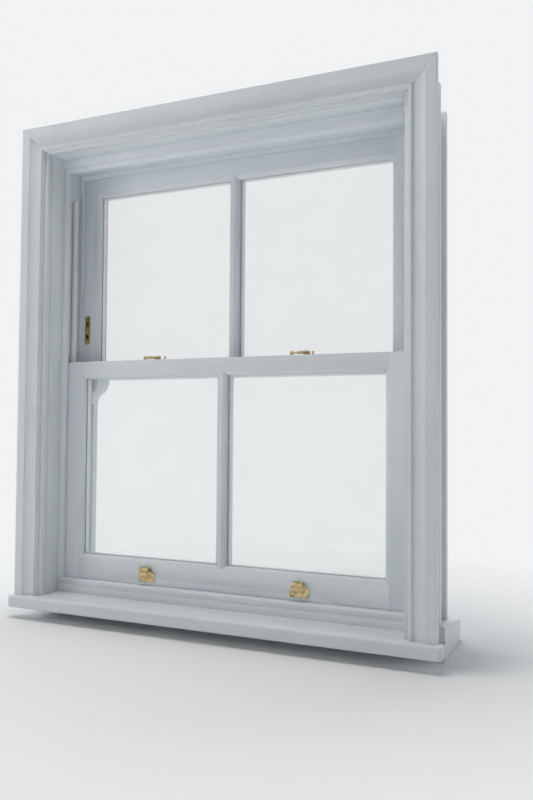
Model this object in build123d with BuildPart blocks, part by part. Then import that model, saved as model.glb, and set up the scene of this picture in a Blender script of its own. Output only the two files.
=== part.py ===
from build123d import *
import os

# A timber sash window in its moulded surround, in millimetres.
# X runs to the right as seen from the room, Y outward through the wall, Z up.
# The origin is in the middle of the sill's underside, on the centre plane of the parting beads.

# Sashes
sash_width = 992
sash_thickness = 54
stile_width = 66
meeting_rail_height = 46
bottom_rail_height = 95
top_rail_height = 64
lower_sash_height = 628
upper_sash_height = 592
moulding_width = 10
moulding_depth = 12
moulding_fillet = 1.5
moulding_belly = (6.2, 3.5)
moulding_shelf = 1
moulding_shelf_depth = 8.6
bar_flat = 8
bar_tenon = 10
bar_tenon_setback = 3
bar_tenon_thickness = 6
glass_thickness = 24
glass_sheet = 4
spacer_height = 13
glass_cover = 12
glass_edge_gap = 2
putty_height = 16
putty_lip = 1.5
tenon_thickness = 16
tenon_length = 36
tenon_shoulder = 9
horn_drop = 68
horn_straight = 16
horn_step = 4
horn_foot_width = 27
horn_hollow = (18, 22)
horn_curve = 30
meeting_bevel_top = 7.5
meeting_bevel_bottom = 2
meeting_gap = 1

# Frame
face_gap = 0.8
edge_gap = 1.5
head_gap = 1.5
seat_gap = 2
seal_width = 12
seal_stem = 4
seal_stem_depth = 6
seal_inset = 2
jamb_thickness = 34
lining_thickness = 21
lining_width = 64
tongue = 8
tongue_thickness = 10
parting_thickness = 8
parting_proud = 12
parting_depth = 20
staff_proud = 12
staff_setback = 4
staff_round = 7
staff_shoulder = 1
sill_bead_height = 18
outer_stop = 12
sill_depth_beyond = 40
sill_platform = 69
sill_upstand = 11
sill_fall = 17
sill_flat_end = 4
sill_horn = 11
sill_nose_radius = 3
drip_radius = 4
drip_inset = 14

# Surround
reveal_depth = 66
reveal_thickness = 20
reveal_inset = 1
head_reveal_drop = 22
arris_radius = 2.5
arris_bead = 14
arris_quirk = 4
arris_quirk_depth = 3
architrave_width = 66
architrave_thickness = 18
architrave_quirk = 7
architrave_bead_start = 3
architrave_bead_end = 11
architrave_bead_height = 13
architrave_cove = 8
architrave_cove_hollow = (27, 10)
architrave_band = 40
architrave_band_step = 2
architrave_edge = 1
side_margin = 10
head_margin = 6
board_thickness = 32
board_below_platform = 8
nosing = 15
board_horn = 12
board_corner = 10
board_round = 6

# Balances
tube_diameter = 15
tube_wall = 1.6
tube_head_gap = 5.5
tube_gap = 0.2
tube_clearance = 2
rod_diameter = 6
rod_in_tube = 50
tube_cap = 3
rod_tip_gap = 17
groove_width = 18
groove_depth = 17
foot_height = 16
raised_gap = 42.5

# Lifts and fasteners
hardware_spacing = 218
lift_width = 50
lift_height = 40
lift_thickness = 2.5
lift_hook_width = 28
lift_hook_radius = 9
lift_centre_above_rail_foot = 56
screw_head = 3.4
screw_shank = 1.6
screw_length = 16
screw_gap = 0.02
screw_slot_width = 0.9
screw_slot_depth = 0.8
lift_shoulder_height = 18
lift_scoop = 4
lift_swell = 11
lift_corner = 2
lift_hook_lip = 4
lift_screw_spacing = 34
lift_screw_inset = 8
base_length = 54
base_width = 24
base_thickness = 2.5
base_corner = 5
base_screw_spacing = 40
boss_radius = 8
boss_height = 3.5
pivot_radius = 3
pivot_setback = 21
pivot_head = 2.6
pivot_gap = 0.05
hub_radius = 9.5
hub_gap = 0.1
hub_thickness = 6
arm_root_radius = 2.8
arm_end_radius = 2.4
lever_length = 45
bulb_radius = 5.2
claw_reach = 28
claw_slot = 7.4
claw_finger = 3
claw_thickness = 4
claw_web_angle = 22
claw_grip_angle = 7
claw_mouth_angle = 12
claw_lock_angle = 75
lever_swing = 165
keeper_length = 44
keeper_width = 12
keeper_corner = 2
keeper_cap = 3
keeper_cap_height = 1.6
keeper_screw_spacing = 30
keeper_post = 2.4
keeper_height = 13

# Travel stops
stop_length = 85
stop_width = 19
stop_plate = 2
stop_depth = 22
stop_pocket_width = 14
stop_pocket_length = 66
stop_window_length = 52
stop_window_width = 9
stop_window_corner = 2
stop_height = 797
stop_inset = 25.5
stop_wall = 1.5
lug_length = 24
lug_width = 8
lug_depth = 14
lug_pin = 1.5
lug_pin_inset = 5
lug_pin_depth = 8
lug_back_rise = 4
lug_flush = 0.2
lug_bevel = 2

# Places worked out from the sizes above
half_sash = sash_width / 2
half_opening = half_sash + edge_gap
parting_y = -parting_thickness / 2
lower_y = parting_y - face_gap - sash_thickness
channel_y = lower_y - face_gap
lining_y = channel_y - lining_thickness
wall_y = lining_y - reveal_depth
upper_y = parting_y + parting_thickness + face_gap
outer_y = upper_y + sash_thickness + face_gap
sill_front = outer_y + lining_thickness + sill_depth_beyond
board_top = sill_platform - board_below_platform
upstand_top = sill_platform + sill_upstand
lower_foot = sill_platform + seat_gap
lower_top = lower_foot + lower_sash_height
upper_foot = lower_top - meeting_rail_height
upper_top = upper_foot + upper_sash_height
head_soffit = upper_top + head_gap
reveal_half = half_opening - reveal_inset
reveal_soffit = head_soffit + head_reveal_drop
flat_half = half_sash - stile_width + moulding_width
rebate_bite = glass_cover + glass_edge_gap - moulding_width
sill_half = half_opening + lining_width + sill_horn
lower_travel = head_soffit - raised_gap - lower_top
lower_tube_foot = lower_foot + foot_height + lower_travel + tube_clearance
upper_tube_foot = upper_foot + foot_height + tube_clearance
tube_length = head_soffit - tube_head_gap - upper_tube_foot
rail_top_y = lower_y + sash_thickness + meeting_bevel_top
fastener_y = rail_top_y - pivot_setback

os.makedirs("parts", exist_ok=True)


def rectangle(x_low, x_high, y_low, y_high):
    """Draw a rectangle between two corners in the current sketch."""
    with Locations(((x_low + x_high) / 2, (y_low + y_high) / 2)):
        Rectangle(x_high - x_low, y_high - y_low)


def rectangle_cut(x_low, x_high, y_low, y_high):
    """Cut a rectangle between two corners out of the current sketch."""
    with Locations(((x_low + x_high) / 2, (y_low + y_high) / 2)):
        Rectangle(x_high - x_low, y_high - y_low, mode=Mode.SUBTRACT)


def slab(x_low, x_high, y_low, y_high, z_low, z_high):
    """A rectangular block between two corners."""
    with BuildPart() as block:
        with BuildSketch(Plane.XY.offset(z_low)):
            rectangle(x_low, x_high, y_low, y_high)
        extrude(amount=z_high - z_low)
    return block.part


def sash_moulding(start, along, inward, length, mitre_start=True):
    """An ovolo strip on the room side of a sash, mitred at its ends.

    It starts at a corner of the flat face and grows inward over the glass.
    """
    section = Plane(origin=start, x_dir=inward, z_dir=along)
    room = 1 if section.y_dir.Y > 0 else -1
    with BuildPart() as strip:
        with BuildSketch(section):
            with BuildLine():
                edge = Line((0, room * moulding_depth), (0, room * moulding_fillet))
                curve = ThreePointArc(
                    edge @ 1,
                    (moulding_belly[0], room * moulding_belly[1]),
                    (moulding_width - moulding_shelf, room * moulding_shelf_depth),
                )
                Polyline(
                    curve @ 1,
                    (moulding_width, room * moulding_shelf_depth),
                    (moulding_width, room * moulding_depth),
                    (0, room * moulding_depth),
                )
            make_face()
        extrude(amount=length)
        cut_low = Plane(origin=start, z_dir=Vector(*along) - Vector(*inward))
        cut_high = Plane(
            origin=Vector(*start) + Vector(*along) * length,
            z_dir=Vector(*along) * -1 - Vector(*inward),
        )
        if mitre_start:
            split(bisect_by=cut_low, keep=Keep.TOP)
        split(bisect_by=cut_high, keep=Keep.TOP)
    return strip.part


def screw(head_centre, into):
    """A countersunk slotted screw, its head flush with the face it enters."""
    face = Plane(origin=head_centre, z_dir=into)
    with BuildPart() as fastener:
        with BuildSketch(face):
            Circle(screw_head)
        with BuildSketch(face.offset(screw_head - screw_shank)):
            Circle(screw_shank)
        loft()
        with BuildSketch(face.offset(screw_head - screw_shank)):
            Circle(screw_shank)
        extrude(amount=screw_length - screw_head + screw_shank)
        with BuildSketch(face):
            Rectangle(2 * screw_head, screw_slot_width)
        extrude(amount=screw_slot_depth, mode=Mode.SUBTRACT)
    return fastener.part


def screw_hole(head_centre, into):
    """The space that a countersunk screw fills."""
    face = Plane(origin=head_centre, z_dir=into)
    with BuildPart() as space:
        with BuildSketch(face):
            Circle(screw_head + screw_gap)
        with BuildSketch(face.offset(screw_head - screw_shank)):
            Circle(screw_shank + screw_gap)
        loft()
        with BuildSketch(face.offset(screw_head - screw_shank)):
            Circle(screw_shank + screw_gap)
        extrude(amount=screw_length - screw_head + screw_shank)
    return space.part


def finish(made, name):
    """Label a part and write it as a STEP file of the same name."""
    made.part.label = name
    export_step(made.part, f"parts/{name}.step")


def mirrored(source, name):
    """Write the left-hand or right-hand twin of a part."""
    with BuildPart() as twin:
        add(source.part)
        mirror(about=Plane.YZ, mode=Mode.REPLACE)
    finish(twin, name)
    return twin


def surround_leg(outline, inner_half, soffit, foot):
    """The right leg of a mitred surround: outline draws its section outward from the opening."""
    with BuildPart() as leg:
        with BuildSketch(Plane(origin=(inner_half, wall_y, foot), x_dir=(1, 0, 0), z_dir=(0, 0, 1))):
            outline()
        extrude(amount=soffit - foot + 2 * architrave_width)
        split(bisect_by=Plane(origin=(inner_half, 0, soffit), z_dir=(1, 0, -1)), keep=Keep.TOP)
    return leg


def surround_head(outline, inner_half, soffit):
    """The head of a mitred surround, with the same section as its legs."""
    with BuildPart() as top:
        with BuildSketch(Plane(origin=(0, wall_y, soffit), x_dir=(0, 0, 1), z_dir=(-1, 0, 0))):
            outline()
        extrude(amount=inner_half + 2 * architrave_width, both=True)
        split(bisect_by=Plane(origin=(inner_half, 0, soffit), z_dir=(-1, 0, 1)), keep=Keep.TOP)
        split(bisect_by=Plane(origin=(-inner_half, 0, soffit), z_dir=(1, 0, 1)), keep=Keep.TOP)
    return top


# Sill: raised inner edge, level seat under the lower sash, then a weathered fall and a drip groove
with BuildPart() as sill:
    with BuildSketch(Plane(origin=(0, 0, 0), x_dir=(0, 1, 0), z_dir=(1, 0, 0))):
        with BuildLine():
            Polyline(
                (lining_y, 0),
                (sill_front, 0),
                (sill_front, sill_platform - sill_fall),
                (parting_y + sill_flat_end, sill_platform),
                (channel_y, sill_platform),
                (channel_y, upstand_top),
                (lining_y, upstand_top),
                close=True,
            )
        make_face()
        with Locations((sill_front - drip_inset, 0)):
            Circle(drip_radius, mode=Mode.SUBTRACT)
    extrude(amount=sill_half, both=True)
    board_groove = slab(
        -sill_half,
        sill_half,
        lining_y,
        lining_y + tongue,
        board_top - (board_thickness + tongue_thickness) / 2,
        board_top - (board_thickness - tongue_thickness) / 2,
    )
    add(board_groove, mode=Mode.SUBTRACT)
    nose_edges = sill.edges().filter_by(Axis.X).group_by(Axis.Y)[-1]
    fillet(nose_edges, sill_nose_radius)
finish(sill, "sill")

# Jambs stand on the sill's slope; the two linings are tongued to them and the parting bead let in
with BuildPart() as jamb_right:
    with BuildSketch(Plane.XY):
        rectangle(half_opening, half_opening + jamb_thickness, channel_y, outer_y)
        rectangle(
            half_opening + tongue_thickness,
            half_opening + 2 * tongue_thickness,
            channel_y - tongue,
            outer_y + tongue,
        )
    extrude(amount=head_soffit)
    bead_groove = slab(
        half_opening,
        half_opening + parting_depth - parting_proud,
        parting_y,
        parting_y + parting_thickness,
        0,
        head_soffit,
    )
    add(bead_groove, mode=Mode.SUBTRACT)
    add(sill.part, mode=Mode.SUBTRACT)
finish(jamb_right, "jamb_right")
jamb_left = mirrored(jamb_right, "jamb_left")

with BuildPart() as head:
    head_half = half_opening + jamb_thickness
    with BuildSketch(Plane(origin=(0, 0, 0), x_dir=(0, 1, 0), z_dir=(1, 0, 0))):
        rectangle(channel_y, outer_y, head_soffit, head_soffit + jamb_thickness)
        rectangle(
            channel_y - tongue,
            outer_y + tongue,
            head_soffit + tongue_thickness,
            head_soffit + 2 * tongue_thickness,
        )
        with Locations((parting_y + parting_thickness / 2, head_soffit)):
            Rectangle(
                parting_thickness,
                2 * (parting_depth - parting_proud),
                mode=Mode.SUBTRACT,
            )
    extrude(amount=head_half, both=True)
finish(head, "head")

# Inner linings face the room; outer linings stand in past the jambs and hold the upper sash
with BuildPart() as inner_lining_right:
    with BuildSketch(Plane.XY.offset(upstand_top)):
        rectangle(half_opening, half_opening + lining_width, lining_y, channel_y)
    extrude(amount=head_soffit - upstand_top)
    add(jamb_right.part, mode=Mode.SUBTRACT)
finish(inner_lining_right, "inner_lining_right")
inner_lining_left = mirrored(inner_lining_right, "inner_lining_left")

with BuildPart() as inner_lining_head:
    with BuildSketch(Plane.XY.offset(head_soffit)):
        rectangle(-half_opening - lining_width, half_opening + lining_width, lining_y, channel_y)
    extrude(amount=lining_width)
    add(head.part, mode=Mode.SUBTRACT)
finish(inner_lining_head, "inner_lining_head")

with BuildPart() as outer_lining_right:
    with BuildSketch(Plane.XY):
        rectangle(
            half_opening - outer_stop,
            half_opening - outer_stop + lining_width,
            outer_y,
            outer_y + lining_thickness,
        )
    extrude(amount=head_soffit - outer_stop)
    add(sill.part, mode=Mode.SUBTRACT)
    add(jamb_right.part, mode=Mode.SUBTRACT)
finish(outer_lining_right, "outer_lining_right")
outer_lining_left = mirrored(outer_lining_right, "outer_lining_left")

with BuildPart() as outer_lining_head:
    outer_half = half_opening - outer_stop + lining_width
    with BuildSketch(Plane.XY.offset(head_soffit - outer_stop)):
        rectangle(-outer_half, outer_half, outer_y, outer_y + lining_thickness)
    extrude(amount=lining_width)
    add(head.part, mode=Mode.SUBTRACT)
    add(jamb_right.part, mode=Mode.SUBTRACT)
    add(jamb_left.part, mode=Mode.SUBTRACT)
finish(outer_lining_head, "outer_lining_head")


# Parting beads, let into the jambs and head, mitred at the top corners
def parting_section():
    """Section of the parting bead, measured out from its inner edge."""
    rectangle(0, parting_depth, parting_y - wall_y, parting_y - wall_y + parting_thickness)


bead_half = half_opening - parting_proud
bead_soffit = head_soffit - parting_proud
with BuildPart() as parting_bead_right:
    add(surround_leg(parting_section, bead_half, bead_soffit, 0).part)
    add(sill.part, mode=Mode.SUBTRACT)
finish(parting_bead_right, "parting_bead_right")
parting_bead_left = mirrored(parting_bead_right, "parting_bead_left")
parting_bead_head = surround_head(parting_section, bead_half, bead_soffit)
finish(parting_bead_head, "parting_bead_head")


# Staff beads, rounded on the room side, mitred at the top corners
def staff_section():
    """Section of the staff bead, measured out from its inner edge."""
    front = reveal_depth + staff_setback
    back = reveal_depth + lining_thickness
    bend = staff_round * (1 - 0.5**0.5)
    with BuildLine() as outline:
        side = Line((0, back), (0, front + staff_round + staff_shoulder))
        curve = ThreePointArc(
            side @ 1,
            (bend, front + bend + staff_shoulder),
            (staff_round, front + staff_shoulder),
        )
        Polyline(curve @ 1, (staff_round, front), (staff_proud, front), (staff_proud, back), side @ 0)
    make_face(outline.edges())


staff_half = half_opening - staff_proud
staff_soffit = head_soffit - staff_proud
sill_bead_top = upstand_top + sill_bead_height
staff_bead_right = surround_leg(staff_section, staff_half, staff_soffit, sill_bead_top)
finish(staff_bead_right, "staff_bead_right")
staff_bead_left = mirrored(staff_bead_right, "staff_bead_left")
staff_bead_head = surround_head(staff_section, staff_half, staff_soffit)
finish(staff_bead_head, "staff_bead_head")

with BuildPart() as staff_bead_sill:
    front = lining_y + staff_setback
    with BuildSketch(Plane(origin=(0, 0, 0), x_dir=(0, 1, 0), z_dir=(1, 0, 0))):
        rectangle(front, channel_y, upstand_top, sill_bead_top)
        rectangle(front, front + staff_shoulder, sill_bead_top - staff_round, sill_bead_top)
        fillet(vertices().group_by(Axis.Y)[-1].sort_by(Axis.X)[:1], staff_round)
    extrude(amount=half_opening, both=True)
finish(staff_bead_sill, "staff_bead_sill")


# Reveal linings, with a quirked bead along the front arris, mitred at the top corners
def reveal_section():
    """Section of the reveal lining, measured out from its face."""
    bend = arris_radius * (1 - 0.5**0.5)
    with BuildLine() as outline:
        arris = ThreePointArc((0, arris_radius), (bend, bend), (arris_radius, 0))
        Polyline(
            arris @ 1,
            (reveal_thickness, 0),
            (reveal_thickness, reveal_depth),
            (0, reveal_depth),
            (0, arris_bead + arris_quirk),
            (arris_quirk_depth, arris_bead + arris_quirk),
            (arris_quirk_depth, arris_bead),
            (0, arris_bead),
            arris @ 0,
        )
    make_face(outline.edges())


reveal_lining_right = surround_leg(reveal_section, reveal_half, reveal_soffit, board_top)
finish(reveal_lining_right, "reveal_lining_right")
reveal_lining_left = mirrored(reveal_lining_right, "reveal_lining_left")
reveal_lining_head = surround_head(reveal_section, reveal_half, reveal_soffit)
finish(reveal_lining_head, "reveal_lining_head")


# Architrave: quirk and bead at the opening, then a cove and a stepped flat band
def architrave_section():
    """Section of the architrave, measured out from the line of its inner edge."""
    bead_side = architrave_bead_height - (architrave_bead_end - architrave_bead_start) / 2
    with BuildLine() as outline:
        quirk = Polyline(
            (0, 0),
            (0, -architrave_quirk),
            (architrave_bead_start, -architrave_quirk),
            (architrave_bead_start, -bead_side),
        )
        bead = ThreePointArc(
            quirk @ 1,
            ((architrave_bead_start + architrave_bead_end) / 2, -architrave_bead_height),
            (architrave_bead_end, -bead_side),
        )
        drop = Line(bead @ 1, (architrave_bead_end, -architrave_cove))
        cove = ThreePointArc(
            drop @ 1,
            (architrave_cove_hollow[0], -architrave_cove_hollow[1]),
            (architrave_band, architrave_band_step - architrave_thickness),
        )
        Polyline(
            cove @ 1,
            (architrave_band, -architrave_thickness),
            (architrave_width - architrave_edge, -architrave_thickness),
            (architrave_width, architrave_edge - architrave_thickness),
            (architrave_width, 0),
            quirk @ 0,
        )
    make_face(outline.edges())


architrave_half = reveal_half + side_margin
architrave_soffit = reveal_soffit + head_margin
architrave_right = surround_leg(architrave_section, architrave_half, architrave_soffit, board_top)
finish(architrave_right, "architrave_right")
architrave_left = mirrored(architrave_right, "architrave_left")
architrave_head = surround_head(architrave_section, architrave_half, architrave_soffit)
finish(architrave_head, "architrave_head")

# Window board: rounded nosing with returned horns, tongued into the sill
with BuildPart() as window_board:
    board_front = wall_y - architrave_thickness - nosing
    board_half = architrave_half + architrave_width + board_horn
    inner_half = reveal_half + reveal_thickness
    with BuildSketch(Plane.XY.offset(board_top - board_thickness)):
        rectangle(-board_half, board_half, board_front, wall_y)
        front_corners = vertices().group_by(Axis.Y)[0]
        fillet(front_corners, board_corner)
        rectangle(-inner_half, inner_half, wall_y, lining_y)
    extrude(amount=board_thickness)
    outside = (Axis.Y, board_front - nosing, wall_y - board_round)
    nose = window_board.edges().group_by(Axis.Z)[-1].filter_by_position(*outside)
    under = window_board.edges().group_by(Axis.Z)[0].filter_by_position(*outside)
    fillet(nose + under, board_round)
    board_tongue = slab(
        -inner_half,
        inner_half,
        lining_y,
        lining_y + tongue,
        board_top - (board_thickness + tongue_thickness) / 2,
        board_top - (board_thickness - tongue_thickness) / 2,
    )
    add(board_tongue)
finish(window_board, "window_board")


class Sash:
    """Where one sash stands: its room face, its foot and top, and the flat edges of its panes."""

    def __init__(self, face, foot, top, flat_low, flat_high, moulded_foot):
        self.face = face
        self.foot = foot
        self.top = top
        self.flat_low = flat_low
        self.flat_high = flat_high
        self.moulded_foot = moulded_foot
        self.back = face + sash_thickness
        self.middle = face + sash_thickness / 2
        self.rebate = face + moulding_depth
        bite = rebate_bite if moulded_foot else glass_cover + glass_edge_gap
        self.rebate_low = flat_low - bite
        self.rebate_high = flat_high + rebate_bite

    def moulding_up(self, x, inward):
        """The upright moulding of one pane, at a flat edge."""
        height = self.flat_high - self.flat_low
        return sash_moulding(
            (x, self.face, self.flat_low), (0, 0, 1), (inward, 0, 0), height, self.moulded_foot
        )

    def tenon(self, low, high):
        """A rail's tenon in the right stile, and the mortise that it fills."""
        return slab(
            flat_half,
            flat_half + tenon_length,
            self.middle - tenon_thickness / 2,
            self.middle + tenon_thickness / 2,
            low + tenon_shoulder,
            high - tenon_shoulder,
        )

    def bar_stub(self, low, high):
        """A glazing bar's stub tenon in a rail."""
        tenon_y = self.face + bar_tenon_setback
        return slab(
            -bar_flat / 2, bar_flat / 2, tenon_y, tenon_y + bar_tenon_thickness, low, high
        )


lower_sash = Sash(
    lower_y,
    lower_foot,
    lower_top,
    lower_foot + bottom_rail_height - moulding_width,
    lower_top - meeting_rail_height + moulding_width,
    True,
)
upper_sash = Sash(
    upper_y,
    upper_foot,
    upper_top,
    upper_foot + meeting_rail_height,
    upper_top - top_rail_height + moulding_width,
    False,
)


def stile(sash, low_rail, high_rail):
    """The right stile of a sash: rebate, moulding, mortises and the balance groove."""
    with BuildPart() as member:
        with BuildSketch(Plane.XY.offset(sash.foot)):
            rectangle(flat_half, half_sash, sash.face, sash.back)
        extrude(amount=sash.top - sash.foot)
        add(sash.moulding_up(flat_half, -1))
        rebate = slab(
            flat_half, flat_half + rebate_bite, sash.rebate, sash.back, sash.rebate_low, sash.rebate_high
        )
        add(rebate, mode=Mode.SUBTRACT)
        groove = slab(
            half_sash - groove_depth,
            half_sash,
            sash.middle - groove_width / 2,
            sash.middle + groove_width / 2,
            sash.foot,
            sash.top,
        )
        add(groove, mode=Mode.SUBTRACT)
        add(sash.tenon(*low_rail), mode=Mode.SUBTRACT)
        add(sash.tenon(*high_rail), mode=Mode.SUBTRACT)
    return member


def horn_outline():
    """The moulded horn below the upper sash: straight, a small step, then an ogee to the foot."""
    inner = flat_half - moulding_width
    step_z = upper_foot - horn_straight
    foot_z = upper_foot - horn_drop
    with BuildLine() as outline:
        shoulder = Polyline(
            (half_sash, upper_foot), (inner, upper_foot), (inner, step_z), (inner + horn_step, step_z)
        )
        hollow = RadiusArc(shoulder @ 1, (inner + horn_hollow[0], step_z - horn_hollow[1]), -horn_curve)
        belly = RadiusArc(hollow @ 1, (half_sash - horn_foot_width, foot_z), horn_curve)
        Polyline(belly @ 1, (half_sash, foot_z), (half_sash, upper_foot))
    make_face(outline.edges())


def rail(sash, span, tenon_span):
    """A rail's core between the stiles, with its tenons."""
    with BuildPart() as member:
        add(slab(-flat_half, flat_half, sash.face, sash.back, *span))
        add(sash.tenon(*tenon_span))
        add(mirror(sash.tenon(*tenon_span), about=Plane.YZ, mode=Mode.PRIVATE))
    return member


def rail_mouldings(sash, z, inward):
    """The mouldings of both panes along one rail."""
    span = flat_half - bar_flat / 2
    right = sash_moulding((bar_flat / 2, sash.face, z), (1, 0, 0), (0, 0, inward), span)
    left = sash_moulding((-flat_half, sash.face, z), (1, 0, 0), (0, 0, inward), span)
    return [right, left]


# Lower sash
bottom_rail_span = (lower_foot, lower_sash.flat_low)
lower_meeting_span = (lower_sash.flat_high, lower_top)
lower_stile_right = stile(lower_sash, bottom_rail_span, lower_meeting_span)
finish(lower_stile_right, "lower_stile_right")
lower_stile_left = mirrored(lower_stile_right, "lower_stile_left")

lift_z = lower_foot + lift_centre_above_rail_foot
lift_screw_z = lift_z - lift_height / 2 + lift_screw_inset
lift_screw_points = [
    (side * hardware_spacing + end * lift_screw_spacing / 2, lower_y - lift_thickness, lift_screw_z)
    for side in (-1, 1)
    for end in (-1, 1)
]
seal_half = flat_half - seal_inset
seal_y = lower_sash.middle
with BuildPart() as bottom_rail:
    add(rail(lower_sash, bottom_rail_span, bottom_rail_span).part)
    add(rail_mouldings(lower_sash, lower_sash.flat_low, 1))
    rail_rebate = slab(
        -flat_half,
        flat_half,
        lower_sash.rebate,
        lower_sash.back,
        lower_sash.rebate_low,
        lower_sash.flat_low,
    )
    add(rail_rebate, mode=Mode.SUBTRACT)
    add(lower_sash.bar_stub(lower_sash.flat_low - bar_tenon, lower_sash.flat_low), mode=Mode.SUBTRACT)
    seal_groove = slab(
        -seal_half,
        seal_half,
        seal_y - seal_stem / 2,
        seal_y + seal_stem / 2,
        lower_foot,
        lower_foot + seal_stem_depth,
    )
    add(seal_groove, mode=Mode.SUBTRACT)
    for point in lift_screw_points:
        add(screw_hole(point, (0, 1, 0)), mode=Mode.SUBTRACT)
finish(bottom_rail, "bottom_rail")

with BuildPart() as bottom_rail_seal:
    with BuildSketch(Plane(origin=(0, 0, 0), x_dir=(0, 1, 0), z_dir=(1, 0, 0))):
        rectangle(
            seal_y - seal_stem / 2, seal_y + seal_stem / 2, lower_foot, lower_foot + seal_stem_depth
        )
        rectangle(seal_y - seal_width / 2, seal_y + seal_width / 2, sill_platform, lower_foot)
    extrude(amount=seal_half, both=True)
finish(bottom_rail_seal, "bottom_rail_seal")

fastener_centres = [-hardware_spacing, hardware_spacing]
base_screw_points = [
    (centre + end * base_screw_spacing / 2, fastener_y, lower_top + base_thickness)
    for centre in fastener_centres
    for end in (-1, 1)
]
bevel_half = half_opening - parting_proud - edge_gap
with BuildPart() as lower_meeting_rail:
    add(rail(lower_sash, lower_meeting_span, lower_meeting_span).part)
    add(rail_mouldings(lower_sash, lower_sash.flat_high, -1))
    rail_rebate = slab(
        -flat_half,
        flat_half,
        lower_sash.rebate,
        lower_sash.back,
        lower_sash.flat_high,
        lower_sash.rebate_high,
    )
    add(rail_rebate, mode=Mode.SUBTRACT)
    add(lower_sash.bar_stub(lower_sash.flat_high, lower_sash.flat_high + bar_tenon), mode=Mode.SUBTRACT)
    with BuildSketch(Plane(origin=(0, 0, 0), x_dir=(0, 1, 0), z_dir=(1, 0, 0))):
        with BuildLine():
            Polyline(
                (lower_sash.back, upper_foot),
                (lower_sash.back + meeting_bevel_bottom, upper_foot),
                (lower_sash.back + meeting_bevel_top, lower_top),
                (lower_sash.back, lower_top),
                close=True,
            )
        make_face()
    extrude(amount=bevel_half, both=True)
    for point in base_screw_points:
        add(screw_hole(point, (0, 0, -1)), mode=Mode.SUBTRACT)
finish(lower_meeting_rail, "lower_meeting_rail")


def glazing_bar(sash):
    """An upright glazing bar: flat front, mouldings each side, a fin between the panes."""
    with BuildPart() as bar:
        add(slab(-bar_flat / 2, bar_flat / 2, sash.face, sash.rebate, sash.flat_low, sash.flat_high))
        add(slab(-bar_flat / 2, bar_flat / 2, sash.rebate, sash.back, sash.rebate_low, sash.rebate_high))
        add(sash.moulding_up(bar_flat / 2, 1))
        add(mirror(sash.moulding_up(bar_flat / 2, 1), about=Plane.YZ, mode=Mode.PRIVATE))
        add(sash.bar_stub(sash.flat_low - bar_tenon, sash.flat_low))
        add(sash.bar_stub(sash.flat_high, sash.flat_high + bar_tenon))
    return bar


lower_glazing_bar = glazing_bar(lower_sash)
finish(lower_glazing_bar, "lower_glazing_bar")


def pane_slab(sash, inset, y_low, y_high):
    """A slab over the right-hand pane's area, set in from the edge of the glass."""
    return slab(
        bar_flat / 2 + glass_edge_gap + inset,
        flat_half + rebate_bite - glass_edge_gap - inset,
        y_low,
        y_high,
        sash.rebate_low + glass_edge_gap + inset,
        sash.rebate_high - glass_edge_gap - inset,
    )


def glass_unit(sash):
    """The two sheets of glass of the right-hand double-glazed unit."""
    glass_back = sash.rebate + glass_thickness
    with BuildPart() as unit:
        add(pane_slab(sash, 0, sash.rebate, sash.rebate + glass_sheet))
        add(pane_slab(sash, 0, glass_back - glass_sheet, glass_back))
    return unit


def spacer_rings(sash):
    """The spacer bars that hold the sheets of both units apart."""
    front = sash.rebate + glass_sheet
    back = sash.rebate + glass_thickness - glass_sheet
    with BuildPart() as rings:
        add(pane_slab(sash, 0, front, back))
        add(pane_slab(sash, spacer_height, front, back), mode=Mode.SUBTRACT)
        mirror(about=Plane.YZ)
    return rings


def putty_rings(sash):
    """The weathered fillet of putty round both panes, outside the glass."""
    glass_back = sash.rebate + glass_thickness
    x_low = bar_flat / 2
    x_high = flat_half + rebate_bite
    sight_low = sash.flat_low + (moulding_width if sash.moulded_foot else 0)
    with BuildPart() as rings:
        add(slab(x_low, x_high, glass_back, glass_back + putty_height, sash.rebate_low, sash.rebate_high))
        sight = Plane(
            origin=((x_low + flat_half) / 2, glass_back, (sight_low + sash.flat_high - moulding_width) / 2),
            x_dir=(1, 0, 0),
            z_dir=(0, 1, 0),
        )
        outer_z = (sash.rebate_low + sash.rebate_high) / 2
        outer = Plane(
            origin=((x_low + x_high) / 2, glass_back + putty_height, outer_z),
            x_dir=(1, 0, 0),
            z_dir=(0, 1, 0),
        )
        with BuildSketch(sight):
            Rectangle(
                flat_half - x_low - 2 * moulding_width, sash.flat_high - moulding_width - sight_low
            )
        with BuildSketch(outer):
            Rectangle(
                x_high - x_low - 2 * putty_lip,
                sash.rebate_high - sash.rebate_low - 2 * putty_lip,
            )
        loft(mode=Mode.SUBTRACT)
        mirror(about=Plane.YZ)
    return rings


lower_glass_right = glass_unit(lower_sash)
finish(lower_glass_right, "lower_glass_right")
lower_glass_left = mirrored(lower_glass_right, "lower_glass_left")
lower_spacers = spacer_rings(lower_sash)
finish(lower_spacers, "lower_spacers")
lower_putty = putty_rings(lower_sash)
finish(lower_putty, "lower_putty")

# Upper sash
upper_meeting_span = (upper_foot, upper_sash.flat_low)
upper_meeting_tenon = (upper_foot, upper_sash.rebate_low)
top_rail_span = (upper_sash.flat_high, upper_top)
stop_x = half_sash - stop_inset
stop_z = stop_height


def stop_envelope():
    """The space in the stile that a travel stop fills."""
    with BuildPart() as space:
        with BuildSketch(Plane(origin=(stop_x, upper_y, stop_z), x_dir=(0, 0, 1), z_dir=(0, 1, 0))):
            SlotOverall(stop_length, stop_width)
        extrude(amount=stop_plate)
        add(
            slab(
                stop_x - stop_pocket_width / 2,
                stop_x + stop_pocket_width / 2,
                upper_y,
                upper_y + stop_depth,
                stop_z - stop_pocket_length / 2,
                stop_z + stop_pocket_length / 2,
            )
        )
    return space.part


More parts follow.
